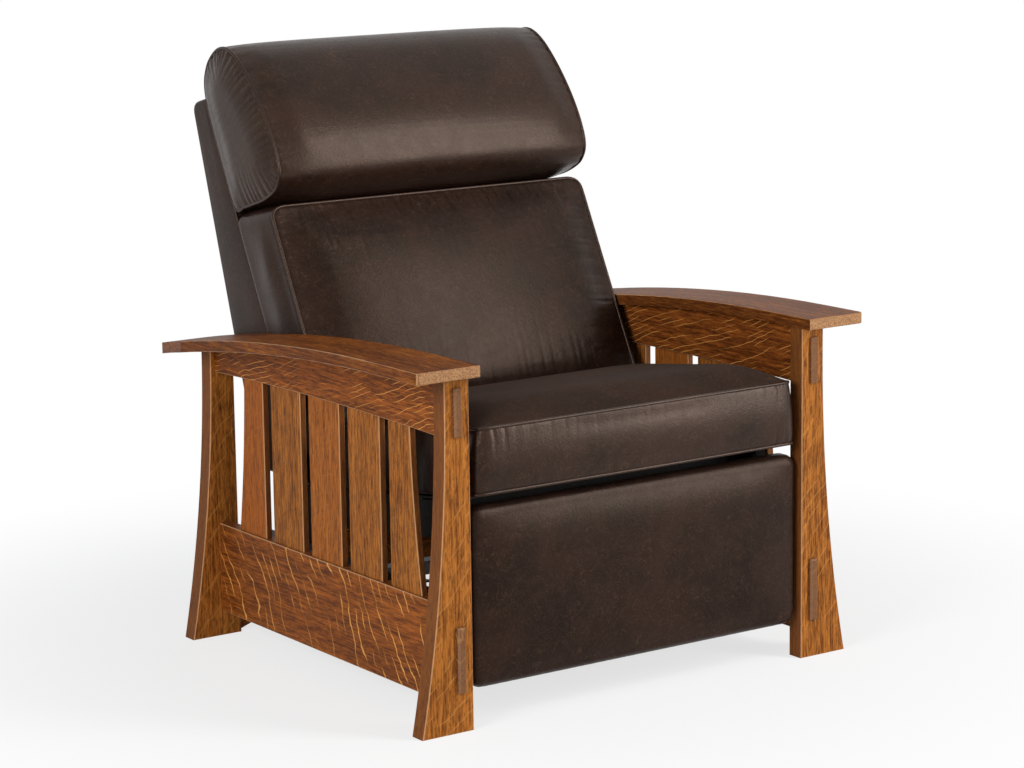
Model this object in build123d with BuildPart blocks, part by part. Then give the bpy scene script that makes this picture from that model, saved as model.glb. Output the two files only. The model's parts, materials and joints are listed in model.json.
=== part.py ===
from build123d import *
from math import atan2, cos, degrees, radians, sin
import os

# Mission reclining armchair. X runs across the chair, -Y is its front and +Z is up.
# The origin lies on the floor under the middle of the chair.
# Every part that has a twin is drawn on the right side, where x is positive.

os.makedirs("parts", exist_ok=True)

# Driving sizes of the wooden frame, in millimetres
overall_width = 890
arm_front_y = -454
arm_rear_y = 405
arm_width = 116
arm_thick = 19
arm_top_z = 586
arm_flat = 98
arm_bow_radius = 4000
arm_clip_x = 28
arm_clip_y = 120
arm_corner = 7
arm_edge = 2

post_inset = 111
post_top_width = 45.5
post_foot_width = 96
post_thick = 32
post_setback = 25
post_straight = 46
rear_post_y = 302

rail_thick = 25
rail_offset = 37
lower_rail_bottom = 44
lower_rail_height = 158
upper_rail_bottom = 470
upper_rail_rise = 6

tenon_thick = 15
tenon_offset = 31
tenon_proud = 7
tenon_bevel = 3
lower_tenon_bottom = 65
lower_tenon_height = 106
upper_tenon_bottom = 473
upper_tenon_height = 77
blind_tenon = 20

slat_thick = 12
slat_offset = 32
slat_width = 96
slat_gap = 26.5
slat_count = 3
end_slat_top = 62
end_slat_foot = 92
slat_tenon = 12

stretcher_thick = 20
stretcher_top = 150
stretcher_end_z = 4
stretcher_arch = 60
stretcher_setback = 5
arris = 1.5

dowel_radius = 5
dowel_length = 40

# Mechanism fixed to the frame
cleat_thick = 27
cleat_bottom = 70
cleat_top = 200
cleat_front_y = -300
cleat_rear_y = 240
track_web = 3
track_depth = 21.5
track_inner = 24
track_flange = 3
track_length = 470
track_middle = 405
track_drop = 155
track_screw_length = 18
tube_size = 25
tube_wall = 2
tube_bottom = 80
tube_front_y = -200
tube_rear_y = 190
screw_radius = 2.5
screw_head = 5
screw_head_thick = 2.5
screw_length = 40

# Seat and its carriage
seat_tilt = 8
seat_front_y = -410
seat_front_z = 366
seat_side_clear = 3
seat_rail_thick = 20
seat_rail_height = 60
seat_rail_start = 58
seat_rail_end = 548
seat_cross_start = 104
deck_thick = 6
deck_setback = 40
strap_count = 5
strap_width = 50
strap_thick = 2

plate_thick = 4
plate_gap = 0.3
leg_width = 40
leg_bottom_z = 60
band_height = 44
band_drop = 12
lobe_radius = 18
tab_width = 44
shoe_length = 48
shoe_radius = 6
shoe_clear = 0.3
shoe_front = 268
shoe_rear = 560
bolt_shares = (0.2, 0.55, 0.9)

# Footrest linkage
link_length = 250
link_width = 16
link_thick = 3
link_gap = 1.5
link_start_angle = 4.5
pivot_y = -350
pivot_z = 325
pin_radius = 4
pin_clear = 0.06
open_pin_clear = 0.3
head_radius = 6.5
head_thick = 1.5
collar_radius = 6
follower_radius = 5.8
slot_clear = 0.2
torque_share = 0.24
torque_radius = 8

# Footrest board and pad
footrest_side_clear = 5
footrest_bottom = 61
footrest_top = 354
footrest_front_y = -431
footrest_crown = 3
board_thick = 15
board_rear_y = -372
board_margin = 14
pad_corner = 18
pad_roll = 9
bracket_flange = 22
bracket_reach = 30

# Seat cushion, in the tilted plane of the seat
cushion_front = -18
cushion_rear = 387
cushion_foot_clear = 4
cushion_top_clear = 14
cushion_foot = 5
cushion_height = 106
cushion_corner = 13
cushion_crown = 34
cushion_bow = 5
cushion_under = 20
crown_reach = 178

# Back, in the leaning plane that its front edges lie in
back_lean = 27
back_foot_y = 109
back_foot_z = 345
back_side_clear = 14
back_rear_y = 264.2
back_panel_z = 300
back_top_z = 932
back_top_depth = 49.2
back_top_fall = 12
side_panel = 26
outer_panel = 12
upright_thick = 26
upright_deep = 45
upright_foot = 6
back_rail_height = 60
back_rail_thick = 22
back_gap = 3
back_corner = 12
back_strap_count = 5
hinge_thick = 3
hinge_reach = 150
back_pivot_y = 175
back_pivot_z = 270
back_pin_radius = 6

back_cushion_spread = 9
back_cushion_thick = 126
back_cushion_bottom = -8
back_cushion_top = 444
back_cushion_slope_share = 0.28
back_cushion_corner = 22
back_cushion_crown = 26
back_cushion_roll = 4
back_crown_reach = 150

headrest_spread = 5
headrest_dome = 10
head_bottom = 422.5
head_top = 720
head_depth = 187
head_shares = (
    (0.1105, 0),
    (0.0306, 0.372),
    (0, 0.753),
    (0.0357, 0.905),
    (0.1343, 0.989),
    (0.4356, 0.972),
    (0.83, 0.81),
    (0.98, 0.6),
    (1, 0.239),
    (0.9214, 0.087),
    (0.8007, 0.0),
)

soft_gap = 0.3
cover = 7
overrun = 10

# Places worked out from the sizes above
arm_outer_x = overall_width / 2
arm_inner_x = arm_outer_x - arm_width
post_inner_x = arm_outer_x - post_inset
rail_outer_x = post_inner_x + rail_offset
tenon_outer_x = post_inner_x + tenon_offset
slat_outer_x = post_inner_x + slat_offset
footrest_half = post_inner_x - footrest_side_clear
cushion_half_foot = arm_inner_x - cushion_foot_clear
cushion_half_top = arm_inner_x - cushion_top_clear
back_half = arm_inner_x - back_side_clear
back_cushion_half = back_half + back_cushion_spread
headrest_half = back_half + headrest_spread
arm_apex_y = arm_front_y + arm_flat
post_front_y = arm_front_y + post_setback
post_rear_y = post_front_y + post_thick
rail_inner_x = rail_outer_x - rail_thick
tenon_inner_x = tenon_outer_x - tenon_thick
slat_inner_x = slat_outer_x - slat_thick
lower_rail_top = lower_rail_bottom + lower_rail_height
bay_mid_y = (post_rear_y + rear_post_y) / 2
arm_under_z = arm_top_z - arm_thick
arm_under_radius = arm_bow_radius - arm_thick
arm_centre_z = arm_top_z - arm_bow_radius
seat_rise = sin(radians(seat_tilt))
seat_run = cos(radians(seat_tilt))
back_rise = cos(radians(back_lean))
back_run = sin(radians(back_lean))


def under_arm_z(y):
    """Height of the arm's underside at y: flat in front, then a circle that falls away."""
    if y <= arm_apex_y:
        return arm_under_z
    return arm_centre_z + (arm_under_radius**2 - (y - arm_apex_y) ** 2) ** 0.5


def at_y(y):
    """Upright plane facing the front of the chair, with X and Z as its axes."""
    return Plane.XZ.offset(-y)


def at_x(x):
    """Upright plane facing right, with Y and Z as its axes."""
    return Plane.YZ.offset(x)


def seat_plane(height=0):
    """Plane of the seat deck: its second axis runs back along the seat."""
    base = Plane(origin=(0, seat_front_y, seat_front_z), x_dir=(1, 0, 0), z_dir=(0, seat_rise, seat_run))
    return base.offset(height)


def seat_point(along, height):
    """Y and Z of a point that far back along the seat and that far above its deck."""
    y = seat_front_y + along * seat_run + height * seat_rise
    z = seat_front_z - along * seat_rise + height * seat_run
    return y, z


def back_plane(depth=0):
    """Plane of the back's front edges: its second axis runs up the back."""
    base = Plane(origin=(0, back_foot_y, back_foot_z), x_dir=(1, 0, 0), z_dir=(0, -back_rise, back_run))
    return base.offset(depth)


def back_point(up, depth):
    """Y and Z of a point that far up the back and that far in front of its edges."""
    y = back_foot_y + up * back_run - depth * back_rise
    z = back_foot_z + up * back_rise + depth * back_run
    return y, z


def hand_in(piece, name):
    """Label a finished piece and write its file."""
    piece.label = name
    export_step(piece, f"parts/{name}.step")


def hand_in_pair(builder, name):
    """Write a right-hand piece and its mirrored left-hand twin."""
    hand_in(builder.part, name + "_right")
    hand_in(mirror(builder.part, about=Plane.YZ), name + "_left")


def hand_in_both(builder, name):
    """Write a right-hand piece and its twin as two solids in one file."""
    twins = Part(children=[builder.part, mirror(builder.part, about=Plane.YZ)])
    hand_in(twins, name)


# Region below the underside of the arm, from its front end to its rear end, seen from the right
with BuildSketch() as under_arm:
    with BuildLine():
        under_front = Line((arm_front_y, 0), (arm_front_y, arm_under_z))
        under_flat = Line(under_front @ 1, (arm_apex_y, arm_under_z))
        under_middle_y = (arm_apex_y + arm_rear_y) / 2
        under_middle = (under_middle_y, under_arm_z(under_middle_y))
        under_bow = ThreePointArc(under_flat @ 1, under_middle, (arm_rear_y, under_arm_z(arm_rear_y)))
        under_rear = Line(under_bow @ 1, (arm_rear_y, 0))
        Line(under_rear @ 1, under_front @ 0)
    make_face()

# Posts: the inner edge is straight and the outer edge flares from below the arm to the foot
post_top_x = post_inner_x + post_top_width
post_foot_x = post_inner_x + post_foot_width
flare_rise = arm_under_z - post_straight
flare_run = post_foot_width - post_top_width
flare_radius = (flare_rise**2 + flare_run**2) / (2 * flare_run)
flare_middle_x = post_top_x + flare_radius - (flare_radius**2 - (flare_rise / 2) ** 2) ** 0.5

with BuildSketch() as post_outline:
    with BuildLine():
        post_inner = Line((post_inner_x, 0), (post_inner_x, arm_under_z))
        post_top = Line(post_inner @ 1, (post_top_x, arm_under_z))
        post_side = Line(post_top @ 1, (post_top_x, flare_rise))
        post_flare = ThreePointArc(post_side @ 1, (flare_middle_x, flare_rise / 2), (post_foot_x, 0))
        Line(post_flare @ 1, post_inner @ 0)
    make_face()


def tenon_outline(bottom, height, shrink=0):
    """Section of a rail's tenon, seen from the front."""
    with Locations(((tenon_inner_x + tenon_outer_x) / 2, bottom + height / 2)):
        Rectangle(tenon_thick - 2 * shrink, height - 2 * shrink)


rear_post_back_y = rear_post_y + post_thick
blind_end_y = rear_post_y + blind_tenon
upper_blind_height = under_arm_z(rear_post_back_y) - upper_tenon_bottom - tenon_proud

with BuildPart() as front_post:
    with BuildSketch(at_y(post_rear_y)):
        add(post_outline.sketch)
    extrude(amount=post_thick)
    chamfer(faces().filter_by(Axis.Y).edges().sort_by(Axis.Z)[:-2], arris)
    with BuildSketch(at_y(post_rear_y)):
        tenon_outline(lower_tenon_bottom, lower_tenon_height)
        tenon_outline(upper_tenon_bottom, upper_tenon_height)
    extrude(amount=post_thick, mode=Mode.SUBTRACT)

stretcher_front_y = rear_post_y + stretcher_setback
stretcher_rear_y = stretcher_front_y + stretcher_thick

with BuildPart() as rear_post:
    with BuildSketch(at_y(rear_post_back_y)):
        add(post_outline.sketch)
    extrude(amount=post_thick)
    chamfer(faces().filter_by(Axis.Y).edges().sort_by(Axis.Z)[:-2], arris)
    with BuildSketch(at_x(post_inner_x - overrun)):
        add(under_arm.sketch)
    extrude(amount=post_foot_width + 2 * overrun, mode=Mode.INTERSECT)
    with BuildSketch(at_y(blind_end_y)):
        tenon_outline(lower_tenon_bottom, lower_tenon_height)
        tenon_outline(upper_tenon_bottom, upper_blind_height)
    extrude(amount=blind_tenon, mode=Mode.SUBTRACT)
    with BuildSketch(at_x(post_inner_x)):
        with Locations(((stretcher_front_y + stretcher_rear_y) / 2, (stretcher_top + lower_tenon_bottom) / 2)):
            Rectangle(stretcher_thick, stretcher_top - lower_tenon_bottom)
    extrude(amount=tenon_inner_x - post_inner_x, mode=Mode.SUBTRACT)

# Side slats: three straight ones, and one at each end whose outer edge flares to the foot
slat_pitch = slat_width + slat_gap
slat_bottom_z = lower_rail_top - slat_tenon
slat_top_z = upper_rail_bottom + slat_tenon
slat_height = slat_top_z - slat_bottom_z
slat_middle_z = (slat_top_z + slat_bottom_z) / 2
end_slat_offset = slat_pitch * (slat_count - 1) / 2 + slat_width / 2 + slat_gap

with BuildPart() as straight_slats:
    with BuildSketch(at_x(slat_inner_x)):
        with Locations((bay_mid_y, slat_middle_z)):
            with GridLocations(slat_pitch, 0, slat_count, 1):
                Rectangle(slat_width, slat_height)
    extrude(amount=slat_thick)
    chamfer(edges().filter_by(Axis.Z), arris)


def end_slat(facing):
    """Outline of the end slat beside the rear post (facing 1) or the front post (facing -1)."""
    root_y = bay_mid_y + facing * end_slat_offset
    top_y = root_y + facing * end_slat_top
    foot_y = root_y + facing * end_slat_foot
    waist_y = root_y + facing * (end_slat_top + (end_slat_foot - end_slat_top) / 3)
    with BuildSketch() as outline:
        with BuildLine():
            root = Line((root_y, slat_bottom_z), (root_y, slat_top_z))
            top = Line(root @ 1, (top_y, slat_top_z))
            flare = ThreePointArc(top @ 1, (waist_y, slat_middle_z), (foot_y, slat_bottom_z))
            Line(flare @ 1, root @ 0)
        make_face()
    return outline.sketch


with BuildPart() as end_slats:
    with BuildSketch(at_x(slat_inner_x)):
        add(end_slat(1))
        add(end_slat(-1))
    extrude(amount=slat_thick)
    chamfer(faces().filter_by(Axis.X).edges().filter_by(Axis.Y, reverse=True), arris)

# Side rails: the lower one is a deep board, the upper one follows the arm and is arched below
rail_length = rear_post_y - post_rear_y
tenon_end_y = post_front_y - tenon_proud

with BuildPart() as lower_rail:
    with BuildSketch(at_x(rail_inner_x)):
        with Locations((bay_mid_y, lower_rail_bottom + lower_rail_height / 2)):
            Rectangle(rail_length, lower_rail_height)
    extrude(amount=rail_thick)
    chamfer(edges().filter_by(Axis.Y), arris)
    with BuildSketch(at_y(post_rear_y)):
        tenon_outline(lower_tenon_bottom, lower_tenon_height)
    extrude(amount=post_thick + tenon_proud - tenon_bevel)
    with BuildSketch(at_y(tenon_end_y + tenon_bevel)):
        tenon_outline(lower_tenon_bottom, lower_tenon_height)
    with BuildSketch(at_y(tenon_end_y)):
        tenon_outline(lower_tenon_bottom, lower_tenon_height, tenon_bevel)
    loft(ruled=True)
    with BuildSketch(at_y(blind_end_y)):
        tenon_outline(lower_tenon_bottom, lower_tenon_height)
    extrude(amount=blind_tenon)
    add(straight_slats.part, mode=Mode.SUBTRACT)
    add(end_slats.part, mode=Mode.SUBTRACT)

with BuildPart() as upper_rail:
    with BuildSketch(at_x(rail_inner_x)):
        with BuildLine():
            front_end = Line((post_rear_y, upper_rail_bottom), (post_rear_y, arm_top_z))
            crest = Line(front_end @ 1, (rear_post_y, arm_top_z))
            rear_end = Line(crest @ 1, (rear_post_y, upper_rail_bottom))
            arch_top = (bay_mid_y, upper_rail_bottom + upper_rail_rise)
            ThreePointArc(rear_end @ 1, arch_top, front_end @ 0)
        make_face()
    extrude(amount=rail_thick)
    chamfer(edges().filter_by(GeomType.CIRCLE), arris)
    with BuildSketch(at_x(rail_inner_x - overrun)):
        add(under_arm.sketch)
    extrude(amount=rail_thick + 2 * overrun, mode=Mode.INTERSECT)
    with BuildSketch(at_y(post_rear_y)):
        tenon_outline(upper_tenon_bottom, upper_tenon_height)
    extrude(amount=post_thick + tenon_proud - tenon_bevel)
    with BuildSketch(at_y(tenon_end_y + tenon_bevel)):
        tenon_outline(upper_tenon_bottom, upper_tenon_height)
    with BuildSketch(at_y(tenon_end_y)):
        tenon_outline(upper_tenon_bottom, upper_tenon_height, tenon_bevel)
    loft(ruled=True)
    with BuildSketch(at_y(blind_end_y)):
        tenon_outline(upper_tenon_bottom, upper_blind_height)
    extrude(amount=blind_tenon)
    add(straight_slats.part, mode=Mode.SUBTRACT)
    add(end_slats.part, mode=Mode.SUBTRACT)

# Arms: a board bowed along its length, with its outer rear corner cut off at a slant
arm_middle_y = (arm_apex_y + arm_rear_y) / 2
arm_middle_z = arm_centre_z + (arm_bow_radius**2 - (arm_middle_y - arm_apex_y) ** 2) ** 0.5
arm_end_z = arm_centre_z + (arm_bow_radius**2 - (arm_rear_y - arm_apex_y) ** 2) ** 0.5

with BuildPart() as arm:
    with BuildSketch(at_x(arm_inner_x)):
        with BuildLine():
            arm_nose = Line((arm_front_y, arm_under_z), (arm_front_y, arm_top_z))
            arm_flat_top = Line(arm_nose @ 1, (arm_apex_y, arm_top_z))
            arm_bow = ThreePointArc(arm_flat_top @ 1, (arm_middle_y, arm_middle_z), (arm_rear_y, arm_end_z))
            arm_tail = Line(arm_bow @ 1, (arm_rear_y, under_arm_z(arm_rear_y)))
            under_middle = (arm_middle_y, under_arm_z(arm_middle_y))
            arm_belly = ThreePointArc(arm_tail @ 1, under_middle, (arm_apex_y, arm_under_z))
            Line(arm_belly @ 1, arm_nose @ 0)
        make_face()
    extrude(amount=arm_width)
    with BuildSketch(Plane.XY):
        with BuildLine():
            arm_inside = Line((arm_inner_x, arm_front_y), (arm_inner_x, arm_rear_y))
            arm_back = Line(arm_inside @ 1, (arm_outer_x - arm_clip_x, arm_rear_y))
            arm_clip = Line(arm_back @ 1, (arm_outer_x, arm_rear_y - arm_clip_y))
            arm_outside = Line(arm_clip @ 1, (arm_outer_x, arm_front_y))
            Line(arm_outside @ 1, arm_inside @ 0)
        make_face()
        arm_front_corner = vertices().sort_by(Axis.Y)[:2].sort_by(Axis.X)[-1]
        fillet(arm_front_corner, arm_corner)
    extrude(amount=arm_top_z + overrun, mode=Mode.INTERSECT)
    fillet(faces().sort_by(Axis.Z)[-2:].edges().filter_by(Axis.X, reverse=True), arm_edge)

# Dowels pin the arm to the upper rail
dowel_reach_share = 0.36
dowel_top = arm_thick * 2 / 3

with BuildPart() as arm_dowels:
    for share in (-dowel_reach_share, 0, dowel_reach_share):
        dowel_y = bay_mid_y + share * rail_length
        with Locations(((rail_inner_x + rail_outer_x) / 2, dowel_y, under_arm_z(dowel_y) + dowel_top)):
            Cylinder(dowel_radius, dowel_length, align=(Align.CENTER, Align.CENTER, Align.MAX))

with BuildPart() as drilled_arm:
    add(arm.part)
    add(arm_dowels.part, mode=Mode.SUBTRACT)

with BuildPart() as drilled_rail:
    add(upper_rail.part)
    add(arm_dowels.part, mode=Mode.SUBTRACT)

# Rear stretcher: a board between the rear posts with an arched lower edge
with BuildPart() as rear_stretcher:
    with BuildSketch(at_y(stretcher_rear_y)):
        with BuildLine():
            left_end = Line((-post_inner_x, stretcher_end_z), (-post_inner_x, stretcher_top))
            top_edge = Line(left_end @ 1, (post_inner_x, stretcher_top))
            right_end = Line(top_edge @ 1, (post_inner_x, stretcher_end_z))
            ThreePointArc(right_end @ 1, (0, stretcher_end_z + stretcher_arch), left_end @ 0)
        make_face()
        with Locations((0, (stretcher_top + lower_tenon_bottom) / 2)):
            Rectangle(2 * tenon_inner_x, stretcher_top - lower_tenon_bottom)
    extrude(amount=stretcher_thick)

hand_in_pair(front_post, "front_post")
hand_in_pair(rear_post, "rear_post")
hand_in_pair(drilled_rail, "upper_rail")
hand_in_pair(straight_slats, "straight_slats")
hand_in_pair(end_slats, "end_slats")
hand_in_pair(drilled_arm, "arm")
hand_in_both(arm_dowels, "arm_dowels")
hand_in(rear_stretcher.part, "rear_stretcher")

# Cleats on the lower rails, with the tracks and cross tubes of the mechanism
track_outer_x = rail_inner_x - cleat_thick
track_inner_x = track_outer_x - track_depth
track_rear = track_middle + track_length / 2
seat_rail_outer = track_outer_x - seat_side_clear


def seat_end(along):
    """Upright plane across the seat that far back, square to the seat and facing its front."""
    y, z = seat_point(along, 0)
    return Plane(origin=(0, y, z), x_dir=(1, 0, 0), z_dir=(0, -seat_run, seat_rise))


cleat_mid_y = (cleat_front_y + cleat_rear_y) / 2
cleat_mid_z = (cleat_bottom + cleat_top) / 2
screw_z = cleat_bottom + 2 * screw_head
screw_places = [(cleat_front_y + 3 * screw_head, screw_z), (cleat_mid_y, screw_z), (cleat_rear_y - 3 * screw_head, screw_z)]

with BuildPart() as cleat_screws:
    with BuildSketch(at_x(track_outer_x)):
        with Locations(screw_places):
            Circle(screw_radius)
    extrude(amount=screw_length)
    with BuildSketch(at_x(track_outer_x)):
        with Locations(screw_places):
            Circle(screw_head)
    extrude(amount=-screw_head_thick)

track_screw_step = track_length / 3
with BuildPart() as track_screws:
    for share in (-1, 0, 1):
        y, z = seat_point(track_middle + share * track_screw_step, -track_drop)
        web_plane = Plane(origin=(track_outer_x - track_web, y, z), z_dir=(1, 0, 0))
        with BuildSketch(web_plane):
            Circle(screw_head)
        with BuildSketch(web_plane.offset(track_web)):
            Circle(screw_radius)
        loft(ruled=True)
        with BuildSketch(web_plane.offset(track_web)):
            Circle(screw_radius)
        extrude(amount=track_screw_length)

with BuildPart() as cleat:
    with BuildSketch(at_x(track_outer_x)):
        with Locations((cleat_mid_y, cleat_mid_z)):
            Rectangle(cleat_rear_y - cleat_front_y, cleat_top - cleat_bottom)
    extrude(amount=cleat_thick)
    add(cleat_screws.part, mode=Mode.SUBTRACT)
    add(track_screws.part, mode=Mode.SUBTRACT)

with BuildPart() as drilled_lower_rail:
    add(lower_rail.part)
    add(cleat_screws.part, mode=Mode.SUBTRACT)

with BuildPart() as track:
    with BuildSketch(seat_end(track_rear)):
        with Locations(((track_outer_x + track_inner_x) / 2, -track_drop)):
            Rectangle(track_depth, track_inner + 2 * track_flange)
        with Locations(((track_outer_x + track_inner_x) / 2 - track_web, -track_drop)):
            Rectangle(track_depth, track_inner, mode=Mode.SUBTRACT)
    extrude(amount=track_length)
    add(track_screws.part, mode=Mode.SUBTRACT)


def cross_tube(middle_y):
    """Square steel tube between the cleats."""
    with BuildPart() as tube:
        with BuildSketch(at_x(-track_outer_x)):
            with Locations((middle_y, tube_bottom + tube_size / 2)):
                Rectangle(tube_size, tube_size)
                Rectangle(tube_size - 2 * tube_wall, tube_size - 2 * tube_wall, mode=Mode.SUBTRACT)
        extrude(amount=2 * track_outer_x)
    return tube.part


hand_in_pair(drilled_lower_rail, "lower_rail")
hand_in_both(cleat, "mounting_cleats")
hand_in_pair(track, "track")
hand_in_both(cleat_screws, "cleat_screws")
hand_in_both(track_screws, "track_screws")
hand_in(cross_tube(tube_front_y), "front_cross_tube")
hand_in(cross_tube(tube_rear_y), "rear_cross_tube")

# Footrest linkage, side view: each side has two crossing links, a short link and a bracket.
# The long link turns on the carriage. The crossing link's foot rides in the carriage's slot.
start = radians(link_start_angle)
rest_run = link_length * sin(start)
rest_drop = link_length * cos(start)
tip_pin = (pivot_y, pivot_z)
root_pin = (pivot_y + rest_run, pivot_z)
foot_pin = (pivot_y, pivot_z - rest_drop)
cross_pin = (pivot_y + rest_run / 2, pivot_z - rest_drop / 2)
board_pin = (pivot_y - rest_run / 2, pivot_z - rest_drop / 2)
follower_pin = (pivot_y + rest_run, pivot_z - rest_drop)
slot_top = (pivot_y + rest_run, pivot_z - rest_run)

plate_outer_x = seat_rail_outer - seat_rail_thick
plate_inner_x = plate_outer_x - plate_thick
near_outer_x = plate_inner_x - link_gap
near_inner_x = near_outer_x - link_thick
far_outer_x = near_inner_x - link_gap
far_inner_x = far_outer_x - link_thick


def between(first, second, share):
    """Point that share of the way from the first point to the second."""
    return tuple(a + share * (b - a) for a, b in zip(first, second))


def link_plate(first, second, inner_x, holes):
    """Flat link with round ends from pin to pin, and its holes as (place, radius)."""
    run = second[0] - first[0]
    rise = second[1] - first[1]
    with BuildPart() as link:
        with BuildSketch(at_x(inner_x)):
            with Locations(Location((*between(first, second, 0.5), 0), (0, 0, degrees(atan2(rise, run))))):
                SlotCenterToCenter((run**2 + rise**2) ** 0.5, link_width)
            for place, radius in holes:
                with Locations(place):
                    Circle(radius, mode=Mode.SUBTRACT)
        extrude(amount=link_thick)
    return link


def pin(place, inner_x, outer_x, radius=pin_radius):
    """Plain pin along X."""
    with BuildPart() as shaft:
        with BuildSketch(at_x(inner_x)):
            with Locations(place):
                Circle(radius)
        extrude(amount=outer_x - inner_x)
    return shaft.part


running_hole = pin_radius + pin_clear
long_link = link_plate(
    root_pin, foot_pin, far_inner_x, [(root_pin, pin_radius), (cross_pin, pin_radius), (foot_pin, pin_radius)]
)
crossing_link = link_plate(
    follower_pin, tip_pin, near_inner_x, [(follower_pin, pin_radius), (cross_pin, running_hole), (tip_pin, pin_radius)]
)
short_link = link_plate(
    foot_pin, board_pin, near_inner_x, [(foot_pin, running_hole), (board_pin, pin_radius + open_pin_clear)]
)

with BuildPart() as long_link_pins:
    for place in (root_pin, cross_pin, foot_pin):
        add(pin(place, far_inner_x - head_thick, near_outer_x))
        add(pin(place, far_inner_x - head_thick, far_inner_x, head_radius))
    add(pin(root_pin, near_outer_x, plate_outer_x - plate_gap))
    add(pin(root_pin, far_outer_x, plate_inner_x - plate_gap, collar_radius))

with BuildPart() as crossing_link_pins:
    add(pin(tip_pin, far_inner_x, near_outer_x))
    add(pin(follower_pin, near_inner_x, near_outer_x))
    add(pin(follower_pin, near_outer_x, plate_outer_x - plate_gap, follower_radius))

torque_place = between(root_pin, foot_pin, torque_share)
torque_tube = pin(torque_place, -far_inner_x, far_inner_x, torque_radius)

# Bracket: an angle plate that carries the footrest board on the two outer pins
bracket_top = pivot_z + link_width / 2
bracket_low = pivot_z - rest_drop / 2 - bracket_reach

with BuildPart() as bracket:
    with BuildSketch(at_x(far_inner_x)):
        with BuildLine():
            Polyline(
                (tip_pin[0], bracket_top),
                (board_rear_y, bracket_top - link_width / 2),
                (board_rear_y, bracket_low),
                (board_pin[0], bracket_low + link_width / 2),
                close=True,
            )
        make_face()
        for place in (tip_pin, board_pin):
            with Locations(place):
                Circle(link_width / 2)
        with Locations(tip_pin):
            Circle(running_hole, mode=Mode.SUBTRACT)
        with Locations(board_pin):
            Circle(pin_radius, mode=Mode.SUBTRACT)
    extrude(amount=link_thick)
    with BuildSketch(at_x(far_inner_x - bracket_flange)):
        with Locations((board_rear_y + link_thick / 2, (bracket_top - link_width / 2 + bracket_low) / 2)):
            Rectangle(link_thick, bracket_top - link_width / 2 - bracket_low)
    extrude(amount=bracket_flange)

with BuildPart() as bracket_pins:
    add(pin(board_pin, far_inner_x - head_thick, near_outer_x))
    add(pin(board_pin, far_inner_x - head_thick, far_inner_x, head_radius))

bracket_screw_x = far_inner_x - bracket_flange * 0.6
bracket_screw_places = [
    (bracket_screw_x, bracket_top - link_width - screw_head),
    (bracket_screw_x, bracket_low + 2 * screw_head),
]

with BuildPart() as bracket_screws:
    with BuildSketch(at_y(board_rear_y)):
        with Locations(bracket_screw_places):
            Circle(screw_radius)
    extrude(amount=board_thick - 2 * screw_radius)
    with BuildSketch(at_y(board_rear_y + link_thick)):
        with Locations(bracket_screw_places):
            Circle(screw_radius)
    extrude(amount=link_thick)
    with BuildSketch(at_y(board_rear_y + link_thick)):
        with Locations(bracket_screw_places):
            Circle(screw_head)
    extrude(amount=-screw_head_thick)

with BuildPart() as drilled_bracket:
    add(bracket.part)
    add(bracket_screws.part, mode=Mode.SUBTRACT)

hand_in_both(long_link, "long_links")
hand_in_both(crossing_link, "crossing_links")
hand_in_both(short_link, "short_links")
hand_in_pair(drilled_bracket, "footrest_bracket")
hand_in_both(long_link_pins, "long_link_pins")
hand_in_both(crossing_link_pins, "crossing_link_pins")
hand_in_both(bracket_pins, "bracket_pins")
hand_in_both(bracket_screws, "bracket_screws")
hand_in(torque_tube, "torque_tube")

# Carriage side plates: a band under the seat rail, a slotted leg in front, a lobe for the back's
# pivot rod behind, and two tabs that carry the slide shoes
leg_front_y = root_pin[0] - leg_width / 2
leg_rear_y = root_pin[0] + leg_width / 2
leg_start = (leg_front_y - seat_front_y) / seat_run
shoe_places = [seat_point(along, -track_drop) for along in (shoe_front, shoe_rear)]
back_pivot = (back_pivot_y, back_pivot_z)
band_end = seat_rail_end - tab_width / 2

with BuildPart() as carriage_plate:
    with BuildSketch(at_x(plate_inner_x)):
        with BuildLine():
            Polyline(
                seat_point(leg_start, -band_drop),
                seat_point(band_end, -band_drop),
                seat_point(band_end, -band_drop - band_height),
                seat_point(leg_start, -band_drop - band_height),
                close=True,
            )
        make_face()
        with BuildLine():
            Polyline(
                (leg_front_y, leg_bottom_z),
                (leg_front_y, seat_point(leg_start, -band_drop - band_height / 2)[1]),
                (leg_rear_y, seat_point(leg_start, -band_drop - band_height / 2)[1]),
                (leg_rear_y, leg_bottom_z),
                close=True,
            )
        make_face()
        with BuildLine():
            Polyline(
                seat_point(band_end - tab_width, -band_drop - band_height),
                seat_point(band_end, -band_drop - lobe_radius),
                (back_pivot_y, back_pivot_z + lobe_radius),
                (back_pivot_y, back_pivot_z - lobe_radius),
                close=True,
            )
        make_face()
        with Locations(back_pivot):
            Circle(lobe_radius)
        for along in (shoe_front, shoe_rear):
            with BuildLine():
                Polyline(
                    seat_point(along - tab_width / 2, -band_drop - band_height / 2),
                    seat_point(along + tab_width / 2, -band_drop - band_height / 2),
                    seat_point(along + tab_width / 3, -track_drop - shoe_radius * 1.5),
                    seat_point(along - tab_width / 3, -track_drop - shoe_radius * 1.5),
                    close=True,
                )
            make_face()
        with Locations(back_pivot):
            Circle(back_pin_radius, mode=Mode.SUBTRACT)
        with Locations(root_pin):
            Circle(running_hole, mode=Mode.SUBTRACT)
        with Locations(Location((*between(follower_pin, slot_top, 0.5), 0), (0, 0, 90))):
            slot_width = 2 * (follower_radius + slot_clear)
            SlotCenterToCenter(slot_top[1] - follower_pin[1] + 2 * slot_clear, slot_width, mode=Mode.SUBTRACT)
        with Locations(shoe_places):
            Circle(shoe_radius, mode=Mode.SUBTRACT)
    extrude(amount=plate_thick)

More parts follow.
